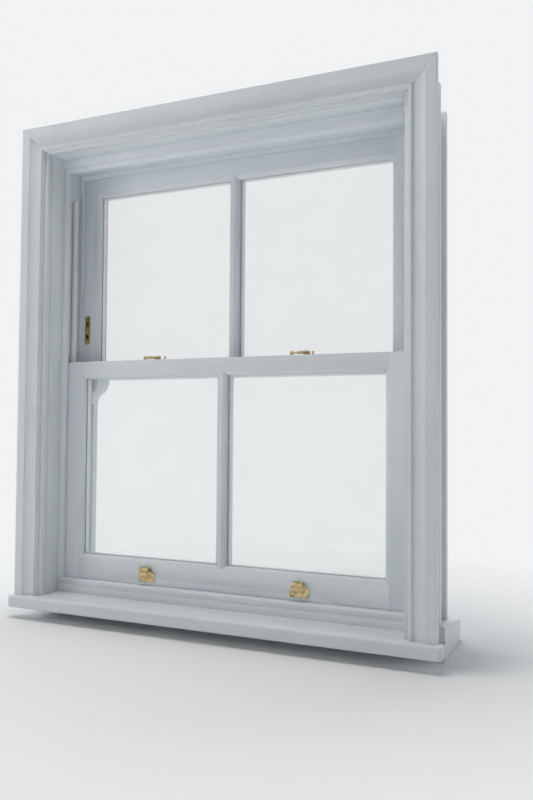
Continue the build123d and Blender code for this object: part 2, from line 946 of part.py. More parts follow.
stop_screw_z = (stop_length + stop_pocket_length) / 4
stop_screw_points = [
    (side * stop_x, upper_y, stop_z + end * stop_screw_z) for side in (-1, 1) for end in (-1, 1)
]
with BuildPart() as upper_stile_right:
    add(stile(upper_sash, upper_meeting_tenon, top_rail_span).part)
    with BuildSketch(Plane(origin=(0, upper_y, 0), x_dir=(1, 0, 0), z_dir=(0, -1, 0))):
        horn_outline()
    extrude(amount=-sash_thickness)
    add(stop_envelope(), mode=Mode.SUBTRACT)
    for point in stop_screw_points[2:]:
        add(screw_hole(point, (0, 1, 0)), mode=Mode.SUBTRACT)
finish(upper_stile_right, "upper_stile_right")
upper_stile_left = mirrored(upper_stile_right, "upper_stile_left")

with BuildPart() as top_rail:
    add(rail(upper_sash, top_rail_span, top_rail_span).part)
    add(rail_mouldings(upper_sash, upper_sash.flat_high, -1))
    rail_rebate = slab(
        -flat_half,
        flat_half,
        upper_sash.rebate,
        upper_sash.back,
        upper_sash.flat_high,
        upper_sash.rebate_high,
    )
    add(rail_rebate, mode=Mode.SUBTRACT)
    add(upper_sash.bar_stub(upper_sash.flat_high, upper_sash.flat_high + bar_tenon), mode=Mode.SUBTRACT)
finish(top_rail, "top_rail")

keeper_y = upper_sash.rebate - keeper_width / 2
post_offset = Vector(claw_reach, 0).rotate(Axis.Z, claw_lock_angle)
keeper_centres = [centre + post_offset.X for centre in fastener_centres]
keeper_screw_points = [
    (centre + end * keeper_screw_spacing / 2, keeper_y, lower_top + base_thickness)
    for centre in keeper_centres
    for end in (-1, 1)
]
with BuildPart() as upper_meeting_rail:
    add(rail(upper_sash, upper_meeting_span, upper_meeting_tenon).part)
    rail_rebate = slab(
        -flat_half,
        flat_half,
        upper_sash.rebate,
        upper_sash.back,
        upper_sash.rebate_low,
        upper_sash.flat_low,
    )
    add(rail_rebate, mode=Mode.SUBTRACT)
    add(upper_sash.bar_stub(upper_sash.flat_low - bar_tenon, upper_sash.flat_low), mode=Mode.SUBTRACT)
    with BuildSketch(Plane(origin=(0, 0, 0), x_dir=(0, 1, 0), z_dir=(1, 0, 0))):
        with BuildLine():
            Polyline(
                (upper_y, upper_foot),
                (lower_sash.back + meeting_bevel_bottom + meeting_gap, upper_foot),
                (lower_sash.back + meeting_bevel_top + meeting_gap, lower_top),
                (upper_y, lower_top),
                close=True,
            )
        make_face()
    extrude(amount=bevel_half, both=True)
    for point in keeper_screw_points:
        add(screw_hole(point, (0, 0, -1)), mode=Mode.SUBTRACT)
finish(upper_meeting_rail, "upper_meeting_rail")

upper_glazing_bar = glazing_bar(upper_sash)
finish(upper_glazing_bar, "upper_glazing_bar")
upper_glass_right = glass_unit(upper_sash)
finish(upper_glass_right, "upper_glass_right")
upper_glass_left = mirrored(upper_glass_right, "upper_glass_left")
upper_spacers = spacer_rings(upper_sash)
finish(upper_spacers, "upper_spacers")
upper_putty = putty_rings(upper_sash)
finish(upper_putty, "upper_putty")

# Spiral balances: a tube on the jamb beside each stile, a rod and a foot in the stile's groove
tube_x = half_opening - tube_gap - tube_diameter / 2


def balance_tube(x, y, foot):
    """A tube, closed at the top, that the rod runs up into."""
    with BuildPart() as tube:
        with BuildSketch(Plane(origin=(x, y, foot))):
            Circle(tube_diameter / 2)
        extrude(amount=tube_length)
        with BuildSketch(Plane(origin=(x, y, foot))):
            Circle(tube_diameter / 2 - tube_wall)
        extrude(amount=tube_length - tube_cap, mode=Mode.SUBTRACT)
    return tube.part


def balance_rod(x, y, low, high):
    """The rod that joins a sash's foot to its balance."""
    with BuildPart() as rod:
        with BuildSketch(Plane(origin=(x, y, low))):
            Circle(rod_diameter / 2)
        extrude(amount=high - low)
    return rod.part


def balance_foot(x, y, low):
    """The foot block in the bottom of a stile's groove, bored for the rod."""
    side = 1 if x > 0 else -1
    with BuildPart() as foot:
        x_out = side * half_sash
        x_in = side * (half_sash - groove_depth)
        add(
            slab(
                min(x_in, x_out),
                max(x_in, x_out),
                y - groove_width / 2,
                y + groove_width / 2,
                low,
                low + foot_height,
            )
        )
        with BuildSketch(Plane(origin=(x, y, low + foot_height / 2))):
            Circle(rod_diameter / 2 + screw_gap)
        extrude(amount=foot_height / 2, mode=Mode.SUBTRACT)
    return foot.part


with BuildPart() as balance_tubes:
    for side in (-1, 1):
        add(balance_tube(side * tube_x, lower_sash.middle, lower_tube_foot))
        add(balance_tube(side * tube_x, upper_sash.middle, upper_tube_foot))
finish(balance_tubes, "balance_tubes")

with BuildPart() as lower_balance_rods:
    for side in (-1, 1):
        rod_low = lower_foot + foot_height / 2
        add(balance_rod(side * tube_x, lower_sash.middle, rod_low, lower_tube_foot + rod_in_tube))
finish(lower_balance_rods, "lower_balance_rods")

with BuildPart() as upper_balance_rods:
    for side in (-1, 1):
        rod_low = upper_foot + foot_height / 2
        rod_high = upper_tube_foot + tube_length - tube_cap - rod_tip_gap
        add(balance_rod(side * tube_x, upper_sash.middle, rod_low, rod_high))
finish(upper_balance_rods, "upper_balance_rods")

with BuildPart() as lower_balance_feet:
    for side in (-1, 1):
        add(balance_foot(side * tube_x, lower_sash.middle, lower_foot))
finish(lower_balance_feet, "lower_balance_feet")

with BuildPart() as upper_balance_feet:
    for side in (-1, 1):
        add(balance_foot(side * tube_x, upper_sash.middle, upper_foot))
finish(upper_balance_feet, "upper_balance_feet")


# Hook lifts on the bottom rail: a shouldered plate with a hook curled over at the top
def sash_lift(x):
    """One hook lift, its plate against the bottom rail."""
    half = lift_width / 2
    foot = -lift_height / 2
    hook_half = lift_hook_width / 2
    hook_z = lift_height / 2 - lift_hook_radius
    with BuildPart() as lift:
        with BuildSketch(Plane(origin=(x, lower_y, lift_z), x_dir=(1, 0, 0), z_dir=(0, -1, 0))):
            with BuildLine():
                side = Polyline((0, foot), (half, foot), (half, foot + lift_shoulder_height))
                swell = RadiusArc(side @ 1, (hook_half + lift_scoop, hook_z - lift_scoop), -lift_swell)
                scoop = RadiusArc(swell @ 1, (hook_half, hook_z), lift_swell)
                Polyline(scoop @ 1, (hook_half, hook_z + lift_scoop), (0, hook_z + lift_scoop))
                mirror(about=Plane.YZ)
            make_face()
            feet = vertices().group_by(Axis.Y)[0].sort_by(Axis.X)
            fillet([feet[0], feet[-1]], lift_corner)
        extrude(amount=lift_thickness)
        with BuildSketch(Plane(origin=(x - hook_half, 0, 0), x_dir=(0, 1, 0), z_dir=(1, 0, 0))):
            with Locations((lower_y - lift_hook_radius, lift_z + hook_z)):
                Circle(lift_hook_radius)
                Circle(lift_hook_radius - lift_thickness, mode=Mode.SUBTRACT)
            rectangle_cut(
                lower_y - 2 * lift_hook_radius,
                lower_y,
                lift_z + foot,
                lift_z + hook_z - lift_hook_lip,
            )
            rectangle_cut(lower_y - lift_hook_radius, lower_y, lift_z + foot, lift_z + hook_z)
        extrude(amount=lift_hook_width)
        for point in lift_screw_points:
            if abs(point[0] - x) < lift_width:
                add(screw_hole(point, (0, 1, 0)), mode=Mode.SUBTRACT)
    return lift


sash_lift_left = sash_lift(-hardware_spacing)
finish(sash_lift_left, "sash_lift_left")
sash_lift_right = sash_lift(hardware_spacing)
finish(sash_lift_right, "sash_lift_right")


# Fasteners on the meeting rails: base and pivot, claw lever, keeper with its post
def fastener_base(x):
    """The base plate on the lower meeting rail, with its boss and pivot."""
    top = Plane(origin=(x, fastener_y, lower_top))
    with BuildPart() as base:
        with BuildSketch(top):
            RectangleRounded(base_length, base_width, base_corner)
        extrude(amount=base_thickness)
        with BuildSketch(top):
            Circle(boss_radius)
        extrude(amount=base_thickness + boss_height)
        with BuildSketch(top):
            Circle(pivot_radius)
        extrude(amount=lever_z + hub_thickness + pivot_head - lower_top)
        for point in base_screw_points:
            if abs(point[0] - x) < base_length:
                add(screw_hole(point, (0, 0, -1)), mode=Mode.SUBTRACT)
    return base


def wedge(start, end, radius):
    """A wedge between two angles, for cutting sectors of a circle."""
    rim = [Vector(radius, 0).rotate(Axis.Z, angle) for angle in (start, (start + end) / 2, end)]
    with BuildLine() as outline:
        Polyline((0, 0), *[(point.X, point.Y) for point in rim], close=True)
    make_face(outline.edges())


lever_z = lower_top + base_thickness + boss_height + hub_gap
slot_end = claw_lock_angle - lever_swing


def fastener_lever(x):
    """The lever at rest: its arm points left along the rail, its claw to the room."""
    floor = Plane(origin=(x, fastener_y, lever_z))
    reach = claw_reach + claw_slot / 2 + claw_finger
    with BuildPart() as lever:
        with BuildSketch(floor):
            wedge(slot_end - claw_web_angle, slot_end + claw_mouth_angle, 2 * reach)
            Circle(reach, mode=Mode.INTERSECT)
        extrude(amount=claw_thickness)
        with BuildSketch(floor):
            wedge(slot_end - claw_grip_angle, slot_end + 2 * claw_mouth_angle, 2 * reach)
            Circle(claw_reach + claw_slot / 2, mode=Mode.INTERSECT)
            Circle(claw_reach - claw_slot / 2, mode=Mode.SUBTRACT)
        extrude(amount=claw_thickness, mode=Mode.SUBTRACT)
        with BuildSketch(floor):
            Circle(hub_radius)
        extrude(amount=hub_thickness)
        arm_z = lever_z + hub_thickness / 2
        with Locations(Plane(origin=(x - pivot_radius, fastener_y, arm_z), z_dir=(-1, 0, 0))):
            Cone(
                arm_root_radius,
                arm_end_radius,
                lever_length - pivot_radius - bulb_radius,
                align=(Align.CENTER, Align.CENTER, Align.MIN),
            )
        with Locations((x - lever_length + bulb_radius, fastener_y, arm_z)):
            Sphere(bulb_radius, rotation=(0, 90, 0))
        with BuildSketch(floor):
            Circle(pivot_radius + pivot_gap)
        extrude(amount=hub_thickness, mode=Mode.SUBTRACT)
    return lever


fastener_base_left = fastener_base(-hardware_spacing)
finish(fastener_base_left, "fastener_base_left")
fastener_base_right = fastener_base(hardware_spacing)
finish(fastener_base_right, "fastener_base_right")
fastener_lever_left = fastener_lever(-hardware_spacing)
finish(fastener_lever_left, "fastener_lever_left")
fastener_lever_right = fastener_lever(hardware_spacing)
finish(fastener_lever_right, "fastener_lever_right")

with BuildPart() as lower_sash_screws:
    for point in lift_screw_points:
        add(screw(point, (0, 1, 0)))
    for point in base_screw_points:
        add(screw(point, (0, 0, -1)))
finish(lower_sash_screws, "lower_sash_screws")

with BuildPart() as fastener_keepers:
    for centre in keeper_centres:
        with BuildSketch(Plane(origin=(centre, keeper_y, lower_top))):
            RectangleRounded(keeper_length, keeper_width, keeper_corner)
        extrude(amount=base_thickness)
        post = Plane(origin=(centre, fastener_y + post_offset.Y, lower_top))
        with BuildSketch(post):
            Circle(keeper_post)
        extrude(amount=keeper_height)
        with BuildSketch(post.offset(keeper_height)):
            Circle(keeper_cap)
        extrude(amount=keeper_cap_height)
    for point in keeper_screw_points:
        add(screw_hole(point, (0, 0, -1)), mode=Mode.SUBTRACT)
finish(fastener_keepers, "fastener_keepers")

# Travel stops let into the upper stiles: a case with a window, and a lug that swings out
lug_top = stop_z + lug_length / 2
pin_y = upper_y + lug_pin_depth
pin_z = lug_top - lug_pin_inset
with BuildPart() as stop_case:
    add(stop_envelope())
    add(
        slab(
            stop_x - stop_pocket_width / 2 + stop_wall,
            stop_x + stop_pocket_width / 2 - stop_wall,
            upper_y + stop_plate,
            upper_y + stop_depth - stop_wall,
            stop_z - stop_pocket_length / 2 + stop_wall,
            stop_z + stop_pocket_length / 2 - stop_wall,
        ),
        mode=Mode.SUBTRACT,
    )
    with BuildSketch(Plane(origin=(stop_x, upper_y, stop_z), x_dir=(0, 0, 1), z_dir=(0, 1, 0))):
        RectangleRounded(stop_window_length, stop_window_width, stop_window_corner)
    extrude(amount=stop_plate, mode=Mode.SUBTRACT)
    with BuildSketch(Plane(origin=(stop_x, pin_y, pin_z), z_dir=(1, 0, 0))):
        Circle(lug_pin)
    extrude(amount=stop_pocket_width / 2, both=True)
    for point in stop_screw_points[2:]:
        add(screw_hole(point, (0, 1, 0)), mode=Mode.SUBTRACT)

with BuildPart() as travel_stop_cases:
    add(stop_case.part)
    mirror(about=Plane.YZ)
finish(travel_stop_cases, "travel_stop_cases")

with BuildPart() as upper_sash_screws:
    for point in keeper_screw_points:
        add(screw(point, (0, 0, -1)))
    for point in stop_screw_points:
        add(screw(point, (0, 1, 0)))
finish(upper_sash_screws, "upper_sash_screws")

with BuildPart() as travel_stop_lug_right:
    with BuildSketch(Plane(origin=(stop_x - lug_width / 2, 0, 0), x_dir=(0, 1, 0), z_dir=(1, 0, 0))):
        with BuildLine():
            Polyline(
                (upper_y + lug_flush, stop_z - lug_length / 2),
                (upper_y + lug_depth, stop_z - lug_length / 2),
                (upper_y + lug_depth, stop_z),
                (pin_y + lug_back_rise, lug_top),
                (upper_y + lug_flush + lug_bevel, lug_top),
                (upper_y + lug_flush, lug_top - lug_bevel),
                close=True,
            )
        make_face()
        with Locations((pin_y, pin_z)):
            Circle(lug_pin + pivot_gap, mode=Mode.SUBTRACT)
    extrude(amount=lug_width)
finish(travel_stop_lug_right, "travel_stop_lug_right")
travel_stop_lug_left = mirrored(travel_stop_lug_right, "travel_stop_lug_left")
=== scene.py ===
"""A painted timber sash window in its moulded surround, dressed and lit for a studio picture."""

import logging
import math
from collections.abc import Iterator
from dataclasses import dataclass, field
from enum import Enum

import bmesh
import bpy
from mathutils import Matrix, Vector


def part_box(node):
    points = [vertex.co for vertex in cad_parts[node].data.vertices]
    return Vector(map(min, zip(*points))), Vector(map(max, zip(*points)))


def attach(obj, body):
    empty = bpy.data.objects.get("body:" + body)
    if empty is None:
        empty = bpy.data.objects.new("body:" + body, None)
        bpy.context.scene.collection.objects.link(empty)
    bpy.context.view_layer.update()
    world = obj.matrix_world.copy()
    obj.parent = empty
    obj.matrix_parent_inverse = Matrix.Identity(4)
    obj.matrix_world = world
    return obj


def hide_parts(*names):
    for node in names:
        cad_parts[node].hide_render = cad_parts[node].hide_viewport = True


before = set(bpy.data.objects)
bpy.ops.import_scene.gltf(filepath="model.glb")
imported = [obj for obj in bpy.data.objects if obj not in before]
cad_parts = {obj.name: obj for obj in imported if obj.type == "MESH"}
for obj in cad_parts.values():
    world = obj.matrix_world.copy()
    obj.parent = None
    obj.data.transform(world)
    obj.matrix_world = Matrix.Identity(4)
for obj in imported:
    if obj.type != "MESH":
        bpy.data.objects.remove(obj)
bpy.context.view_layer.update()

log = logging.getLogger("sash_window")

FRAME_BODY = "frame"
SIDES = ("left", "right")
INWARD = Vector((0.0, 1.0, 0.0))
DOWN = Vector((0.0, 0.0, -1.0))

Triple = tuple[float, float, float]
Sockets = dict[int | str, object]
Place = tuple[Vector, Vector]


class Grain(Enum):
    """The direction a member runs in, which its brush marks follow."""

    UPRIGHT = (1.0, 1.0, 0.05)
    ACROSS = (0.05, 1.0, 1.0)


class Sash(Enum):
    """The two sashes, by the word that their solids' names start with."""

    LOWER = "lower"
    UPPER = "upper"

    @property
    def body(self) -> str:
        """The body that the sash moves as."""
        return f"{self.value}_sash"


class Slot(Enum):
    """The names of the record's material slots."""

    FRAME_PAINT = "frame_paint"
    SASH_PAINT = "sash_paint"
    PUTTY = "putty"
    BRASS = "hardware_brass"


class NodeBench:
    """A node tree and the one way to add to it."""

    def __init__(self, tree: bpy.types.NodeTree) -> None:
        """Keep the tree and empty it."""
        self.tree = tree
        tree.nodes.clear()

    def add(self, kind: str, sockets: Sockets | None = None, **settings: object) -> bpy.types.Node:
        """Add any node, with its settings first and then its sockets.

        Args:
            kind: the node's type name.
            sockets: values, signals or output sockets for its inputs, by name or place.
            settings: properties of the node.

        Returns:
            The node.
        """
        made = self.tree.nodes.new(kind)
        for key, value in settings.items():
            setattr(made, key, value)
        for key, value in (sockets or {}).items():
            source = value.socket if isinstance(value, Signal) else value
            if isinstance(source, bpy.types.NodeSocket):
                self.tree.links.new(source, made.inputs[key])
            else:
                made.inputs[key].default_value = source
        return made


class Signal:
    """An output socket of a shader tree that Python's operators work on."""

    def __init__(self, bench: "ShaderBench", socket: bpy.types.NodeSocket) -> None:
        """Keep the socket and the bench that adds nodes to the same tree."""
        self.bench = bench
        self.socket = socket

    def __add__(self, other: "Signal | float") -> "Signal":
        """Sum."""
        return self.bench.math("ADD", self, other)

    def __mul__(self, other: "Signal | float") -> "Signal":
        """Product."""
        return self.bench.math("MULTIPLY", self, other)

    __radd__ = __add__
    __rmul__ = __mul__

    def __sub__(self, other: "Signal | float") -> "Signal":
        """Difference."""
        return self.bench.math("SUBTRACT", self, other)

    def __rsub__(self, other: "Signal | float") -> "Signal":
        """Difference, with the number first."""
        return self.bench.math("SUBTRACT", other, self)

    def __pow__(self, other: "Signal | float") -> "Signal":
        """Power."""
        return self.bench.math("POWER", self, other)

    def __rpow__(self, other: "Signal | float") -> "Signal":
        """Power, with the number first."""
        return self.bench.math("POWER", other, self)

    def spread(self, low: float, high: float, to_low: float = 0.0, to_high: float = 1.0) -> "Signal":
        """Move a range of values to another range, held at its ends.

        Args:
            low: the value that becomes to_low.
            high: the value that becomes to_high.
            to_low: the result at and below low.
            to_high: the result at and above high.

        Returns:
            The moved value.
        """
        ends = {"Value": self, "From Min": low, "From Max": high, "To Min": to_low, "To Max": to_high}
        return self.bench.node("ShaderNodeMapRange", ends, clamp=True)


@dataclass(frozen=True)
class Texture:
    """A noise: its features per metre, its finer layers and how strong they are."""

    scale: float
    detail: float
    roughness: float


class ShaderBench(NodeBench):
    """The shader tree of a material or of the world, and the ways to add to it."""

    SEEN_RAYS = ("Is Camera Ray", "Is Glossy Ray", "Is Transmission Ray")

    def __init__(
        self,
        owner: bpy.types.Material | bpy.types.World,
        end: str = "ShaderNodeOutputMaterial",
    ) -> None:
        """Start an empty tree.

        Args:
            owner: the material or the world.
            end: the type name of its output node.
        """
        owner.use_nodes = True
        super().__init__(owner.node_tree)
        self.owner = owner
        self.output = self.add(end)

    @classmethod
    def for_material(cls, name: str) -> "ShaderBench":
        """Start an empty material of this name."""
        return cls(bpy.data.materials.new(name))

    def node(
        self,
        kind: str,
        sockets: Sockets | None = None,
        result: int | str = 0,
        **settings: object,
    ) -> Signal:
        """Add any node and take one of its outputs.

        Args:
            kind: the node's type name.
            sockets: values or signals for its inputs, by name or place.
            result: the output that is returned.
            settings: properties of the node.

        Returns:
            The chosen output.
        """
        return Signal(self, self.add(kind, sockets, **settings).outputs[result])

    def math(self, operation: str, *operands: Signal | float) -> Signal:
        """Add a Math node.

        Args:
            operation: the node's operation, in Blender's words.
            operands: the numbers and signals that it works on.

        Returns:
            The node's result.
        """
        return self.node("ShaderNodeMath", dict(enumerate(operands)), operation=operation)

    def object_point(self, stretch: Triple = (1.0, 1.0, 1.0)) -> Signal:
        """Object coordinates, stretched.

        Args:
            stretch: the factor along each axis.

        Returns:
            The stretched coordinates.
        """
        place = self.node("ShaderNodeTexCoord", result="Object")
        return self.node("ShaderNodeMapping", {"Vector": place, "Scale": stretch})

    def noise(self, point: Signal, texture: Texture) -> Signal:
        """A noise from 0 to 1.

        Args:
            point: the coordinates that it reads.
            texture: its scale, detail and roughness.

        Returns:
            The noise.
        """
        sockets = {
            "Vector": point,
            "Scale": texture.scale,
            "Detail": texture.detail,
            "Roughness": texture.roughness,
        }
        return self.node("ShaderNodeTexNoise", sockets)

    def blend(self, amount: Signal, low: Triple, high: Triple) -> Signal:
        """A colour between two colours.

        Args:
            amount: 0 for the first colour, 1 for the second.
            low: the first colour.
            high: the second colour.

        Returns:
            The mixed colour.
        """
        sockets = {0: amount, 6: (*low, 1.0), 7: (*high, 1.0)}
        return self.node("ShaderNodeMix", sockets, 2, data_type="RGBA")

    def bump(
        self, height: Signal, strength: float, distance: float, under: Signal | None = None
    ) -> Signal:
        """A bumped normal.

        Args:
            height: the height, from 0 to 1.
            strength: how much of the bump shows.
            distance: the height in metres at 1.
            under: a coarser bump that this one lies on.

        Returns:
            The normal.
        """
        sockets = {"Height": height, "Strength": strength, "Distance": distance}
        if under is not None:
            sockets["Normal"] = under
        return self.node("ShaderNodeBump", sockets)

    def seen(self) -> Signal:
        """Tell what is looked at from what only sends light.

        Returns:
            1 for rays from the camera, a mirror or glass, and 0 for the others.
        """
        camera, glossy, through = (
            self.node("ShaderNodeLightPath", result=ray) for ray in self.SEEN_RAYS
        )
        return self.math("MINIMUM", camera + glossy + through, 1.0)

    def close(self, surface: Signal) -> bpy.types.Material | bpy.types.World:
        """Lead a shader to the output.

        Args:
            surface: the shader.

        Returns:
            The finished material or world.
        """
        self.tree.links.new(surface.socket, self.output.inputs["Surface"])
        return self.owner

    def principled(self, sockets: Sockets) -> bpy.types.Material:
        """Finish the material with a Principled shader.

        Args:
            sockets: values or signals for the shader.

        Returns:
            The material.
        """
        return self.close(self.node("ShaderNodeBsdfPrincipled", sockets))


@dataclass(frozen=True)
class PaintFinish:
    """Satin paint brushed on timber: strokes along the grain, slow waves, patches and specks."""

    name: str
    colour: Triple
    shade: Triple
    grain: Grain
    strokes: Texture = Texture(620.0, 3.0, 0.6)
    waves: Texture = Texture(26.0, 2.0, 0.45)
    patches: Texture = Texture(5.0, 3.0, 0.55)
    specks: Texture = Texture(900.0, 2.0, 0.5)
    speck_range: tuple[float, float] = (0.68, 0.8)
    speck_height: float = 0.4
    patch_share: float = 0.65
    tone_range: tuple[float, float] = (0.35, 0.68)
    sheen_range: tuple[float, float, float, float] = (0.3, 0.7, 0.31, 0.45)
    wave_strength: float = 0.35
    wave_depth: float = 0.00005
    brush_strength: float = 0.55
    brush_depth: float = 0.00013
    reflection: float = 0.45

    def material(self) -> bpy.types.Material:
        """Make the paint.

        Returns:
            The material.
        """
        bench = ShaderBench.for_material(self.name)
        plain = bench.object_point()
        strokes = bench.noise(bench.object_point(self.grain.value), self.strokes)
        waves = bench.noise(plain, self.waves)
        patches = bench.noise(plain, self.patches)
        specks = bench.noise(plain, self.specks).spread(*self.speck_range)
        mottle = patches * self.patch_share + strokes * (1.0 - self.patch_share)
        tone = bench.blend(mottle.spread(*self.tone_range), self.shade, self.colour)
        rough = (waves * 0.5 + strokes * 0.5).spread(*self.sheen_range)
        wavy = bench.bump(waves, self.wave_strength, self.wave_depth)
        height = strokes + specks * self.speck_height
        brushed = bench.bump(height, self.brush_strength, self.brush_depth, wavy)
        sockets = {"Base Color": tone, "Roughness": rough, "Normal": brushed}
        return bench.principled({**sockets, "Specular IOR Level": self.reflection})


@dataclass(frozen=True)
class BrassFinish:
    """Polished brass with fine wipe marks and a little tarnish."""

    name: str
    bright: Triple = (0.76, 0.61, 0.34)
    tarnish: Triple = (0.24, 0.165, 0.07)
    clouds: Texture = Texture(90.0, 4.0, 0.6)
    cloud_range: tuple[float, float, float, float] = (0.36, 0.66, 0.1, 0.8)
    spots: Texture = Texture(420.0, 3.0, 0.55)
    spot_range: tuple[float, float] = (0.6, 0.75)
    spot_share: float = 0.3
    marks: Texture = Texture(2600.0, 2.0, 0.5)
    wipe: Triple = (1.0, 1.0, 0.12)
    mark_strength: float = 0.2
    mark_depth: float = 0.00004
    gloss: float = 0.15
    tarnish_roughness: float = 0.22
    mark_roughness: float = 0.1

    def material(self) -> bpy.types.Material:
        """Make the brass.

        Returns:
            The material.
        """
        bench = ShaderBench.for_material(self.name)
        plain = bench.object_point()
        clouds = bench.noise(plain, self.clouds).spread(*self.cloud_range)
        spots = bench.noise(plain, self.spots).spread(*self.spot_range)
        marks = bench.noise(bench.object_point(self.wipe), self.marks)
        dull = bench.math("MINIMUM", clouds + spots * self.spot_share, 1.0)
        tone = bench.blend(1.0 - dull, self.tarnish, self.bright)
        rough = dull * self.tarnish_roughness + marks * self.mark_roughness + self.gloss
        normal = bench.bump(marks, self.mark_strength, self.mark_depth)
        sockets = {"Base Color": tone, "Roughness": rough, "Normal": normal, "Metallic": 1.0}
        return bench.principled(sockets)


@dataclass(frozen=True)
class GlassFinish:
    """Clear float glass, with more reflection at a slant and a trace of dust."""

    name: str
    tint: Triple = (0.86, 0.93, 0.92)
    clear: float = 0.06
    grazing: float = 0.7
    rise: float = 4.0
    gloss: float = 0.02
    reflection: float = 0.9
    dust: Texture = Texture(14.0, 5.0, 0.6)
    dust_range: tuple[float, float, float, float] = (0.5, 0.8, 0.0, 0.012)

    def material(self) -> bpy.types.Material:
        """Make the glass.

        Returns:
            The material.
        """
        bench = ShaderBench.for_material(self.name)
        facing = bench.node("ShaderNodeLayerWeight", {"Blend": 0.5}, "Facing")
        dust = bench.noise(bench.object_point(), self.dust).spread(*self.dust_range)
        sockets = {
            "Base Color": (*self.tint, 1.0),
            "Roughness": self.gloss,
            "Alpha": facing**self.rise * self.grazing + dust + self.clear,
            "Specular IOR Level": self.reflection,
        }
        return bench.principled(sockets)


@dataclass(frozen=True)
class MouldedFinish:
    """A plain moulded, anodised or extruded surface with a fine, uneven sheen."""

    name: str
    colour: Triple
    shade: Triple
    gloss: float
    metal: float = 0.0
    clouds: Texture = Texture(40.0, 3.0, 0.5)
    cloud_range: tuple[float, float] = (0.3, 0.7)
    pores: Texture = Texture(700.0, 2.0, 0.5)
    pore_strength: float = 0.4
    pore_depth: float = 0.00005
    sheen_swing: float = 0.12

    def material(self) -> bpy.types.Material:
        """Make the surface.

        Returns:
            The material.
        """
        bench = ShaderBench.for_material(self.name)
        plain = bench.object_point()
        clouds = bench.noise(plain, self.clouds).spread(*self.cloud_range)
        pores = bench.noise(plain, self.pores)
        sockets = {
            "Base Color": bench.blend(clouds, self.shade, self.colour),
            "Metallic": self.metal,
            "Roughness": pores * self.sheen_swing + (self.gloss - self.sheen_swing / 2),
            "Normal": bench.bump(pores, self.pore_strength, self.pore_depth),
        }
        return bench.principled(sockets)


@dataclass(frozen=True)
class Palette:
    """Every material of the window, made once."""

    upright: bpy.types.Material
    across: bpy.types.Material
    casing_upright: bpy.types.Material
    casing_across: bpy.types.Material
    brass: bpy.types.Material
    screw: bpy.types.Material
    glass: bpy.types.Material
    spacer: bpy.types.Material
    putty: bpy.types.Material
    seal: bpy.types.Material
    tube: bpy.types.Material
    rod: bpy.types.Material
    foot: bpy.types.Material

    @classmethod
    def mix(cls) -> "Palette":
        """Make all the materials.

        Returns:
            The palette.
        """
        sash = ((0.795, 0.835, 0.862), (0.735, 0.78, 0.812))
        casing = ((0.77, 0.805, 0.825), (0.71, 0.75, 0.772))
        spacer = ((0.86, 0.87, 0.88), (0.78, 0.79, 0.80))
        putty = ((0.78, 0.80, 0.80), (0.70, 0.72, 0.72))
        rubber = ((0.03, 0.03, 0.03), (0.015, 0.015, 0.015))
        tube = ((0.80, 0.81, 0.81), (0.74, 0.75, 0.75))
        steel = ((0.62, 0.62, 0.62), (0.48, 0.48, 0.49))
        foot = ((0.76, 0.77, 0.77), (0.70, 0.71, 0.71))
        finishes = {
            "upright": PaintFinish("sash_paint_upright", *sash, Grain.UPRIGHT),
            "across": PaintFinish("sash_paint_across", *sash, Grain.ACROSS),
            "casing_upright": PaintFinish("casing_paint_upright", *casing, Grain.UPRIGHT),
            "casing_across": PaintFinish("casing_paint_across", *casing, Grain.ACROSS),
            "brass": BrassFinish("polished_brass"),
            "screw": BrassFinish("screw_brass", (0.86, 0.76, 0.52), (0.50, 0.38, 0.20)),
            "glass": GlassFinish("float_glass"),
            "spacer": MouldedFinish("spacer_bar", *spacer, gloss=0.42, metal=0.2),
            "putty": MouldedFinish("painted_putty", *putty, gloss=0.5),
            "seal": MouldedFinish("draught_seal", *rubber, gloss=0.7),
            "tube": MouldedFinish("tube_white", *tube, gloss=0.3),
            "rod": MouldedFinish("plated_steel", *steel, gloss=0.3, metal=1.0),
            "foot": MouldedFinish("foot_white", *foot, gloss=0.45),
        }
        return cls(**{role: finish.material() for role, finish in finishes.items()})


@dataclass(frozen=True)
class EasedEdge:
    """The rounding of a piece's arrises."""

    width: float
    steps: int = 2
    sharpest: float = math.radians(28.0)

    def round_off(self, piece: bpy.types.Object) -> None:
        """Add the rounding to a piece.

        Args:
            piece: the piece.
        """
        ease = piece.modifiers.new("eased_edges", "BEVEL")
        ease.width = self.width
        ease.segments = self.steps
        ease.limit_method = "ANGLE"
        ease.angle_limit = self.sharpest
        ease.use_clamp_overlap = True
        ease.harden_normals = True
        ease.miter_outer = "MITER_ARC"


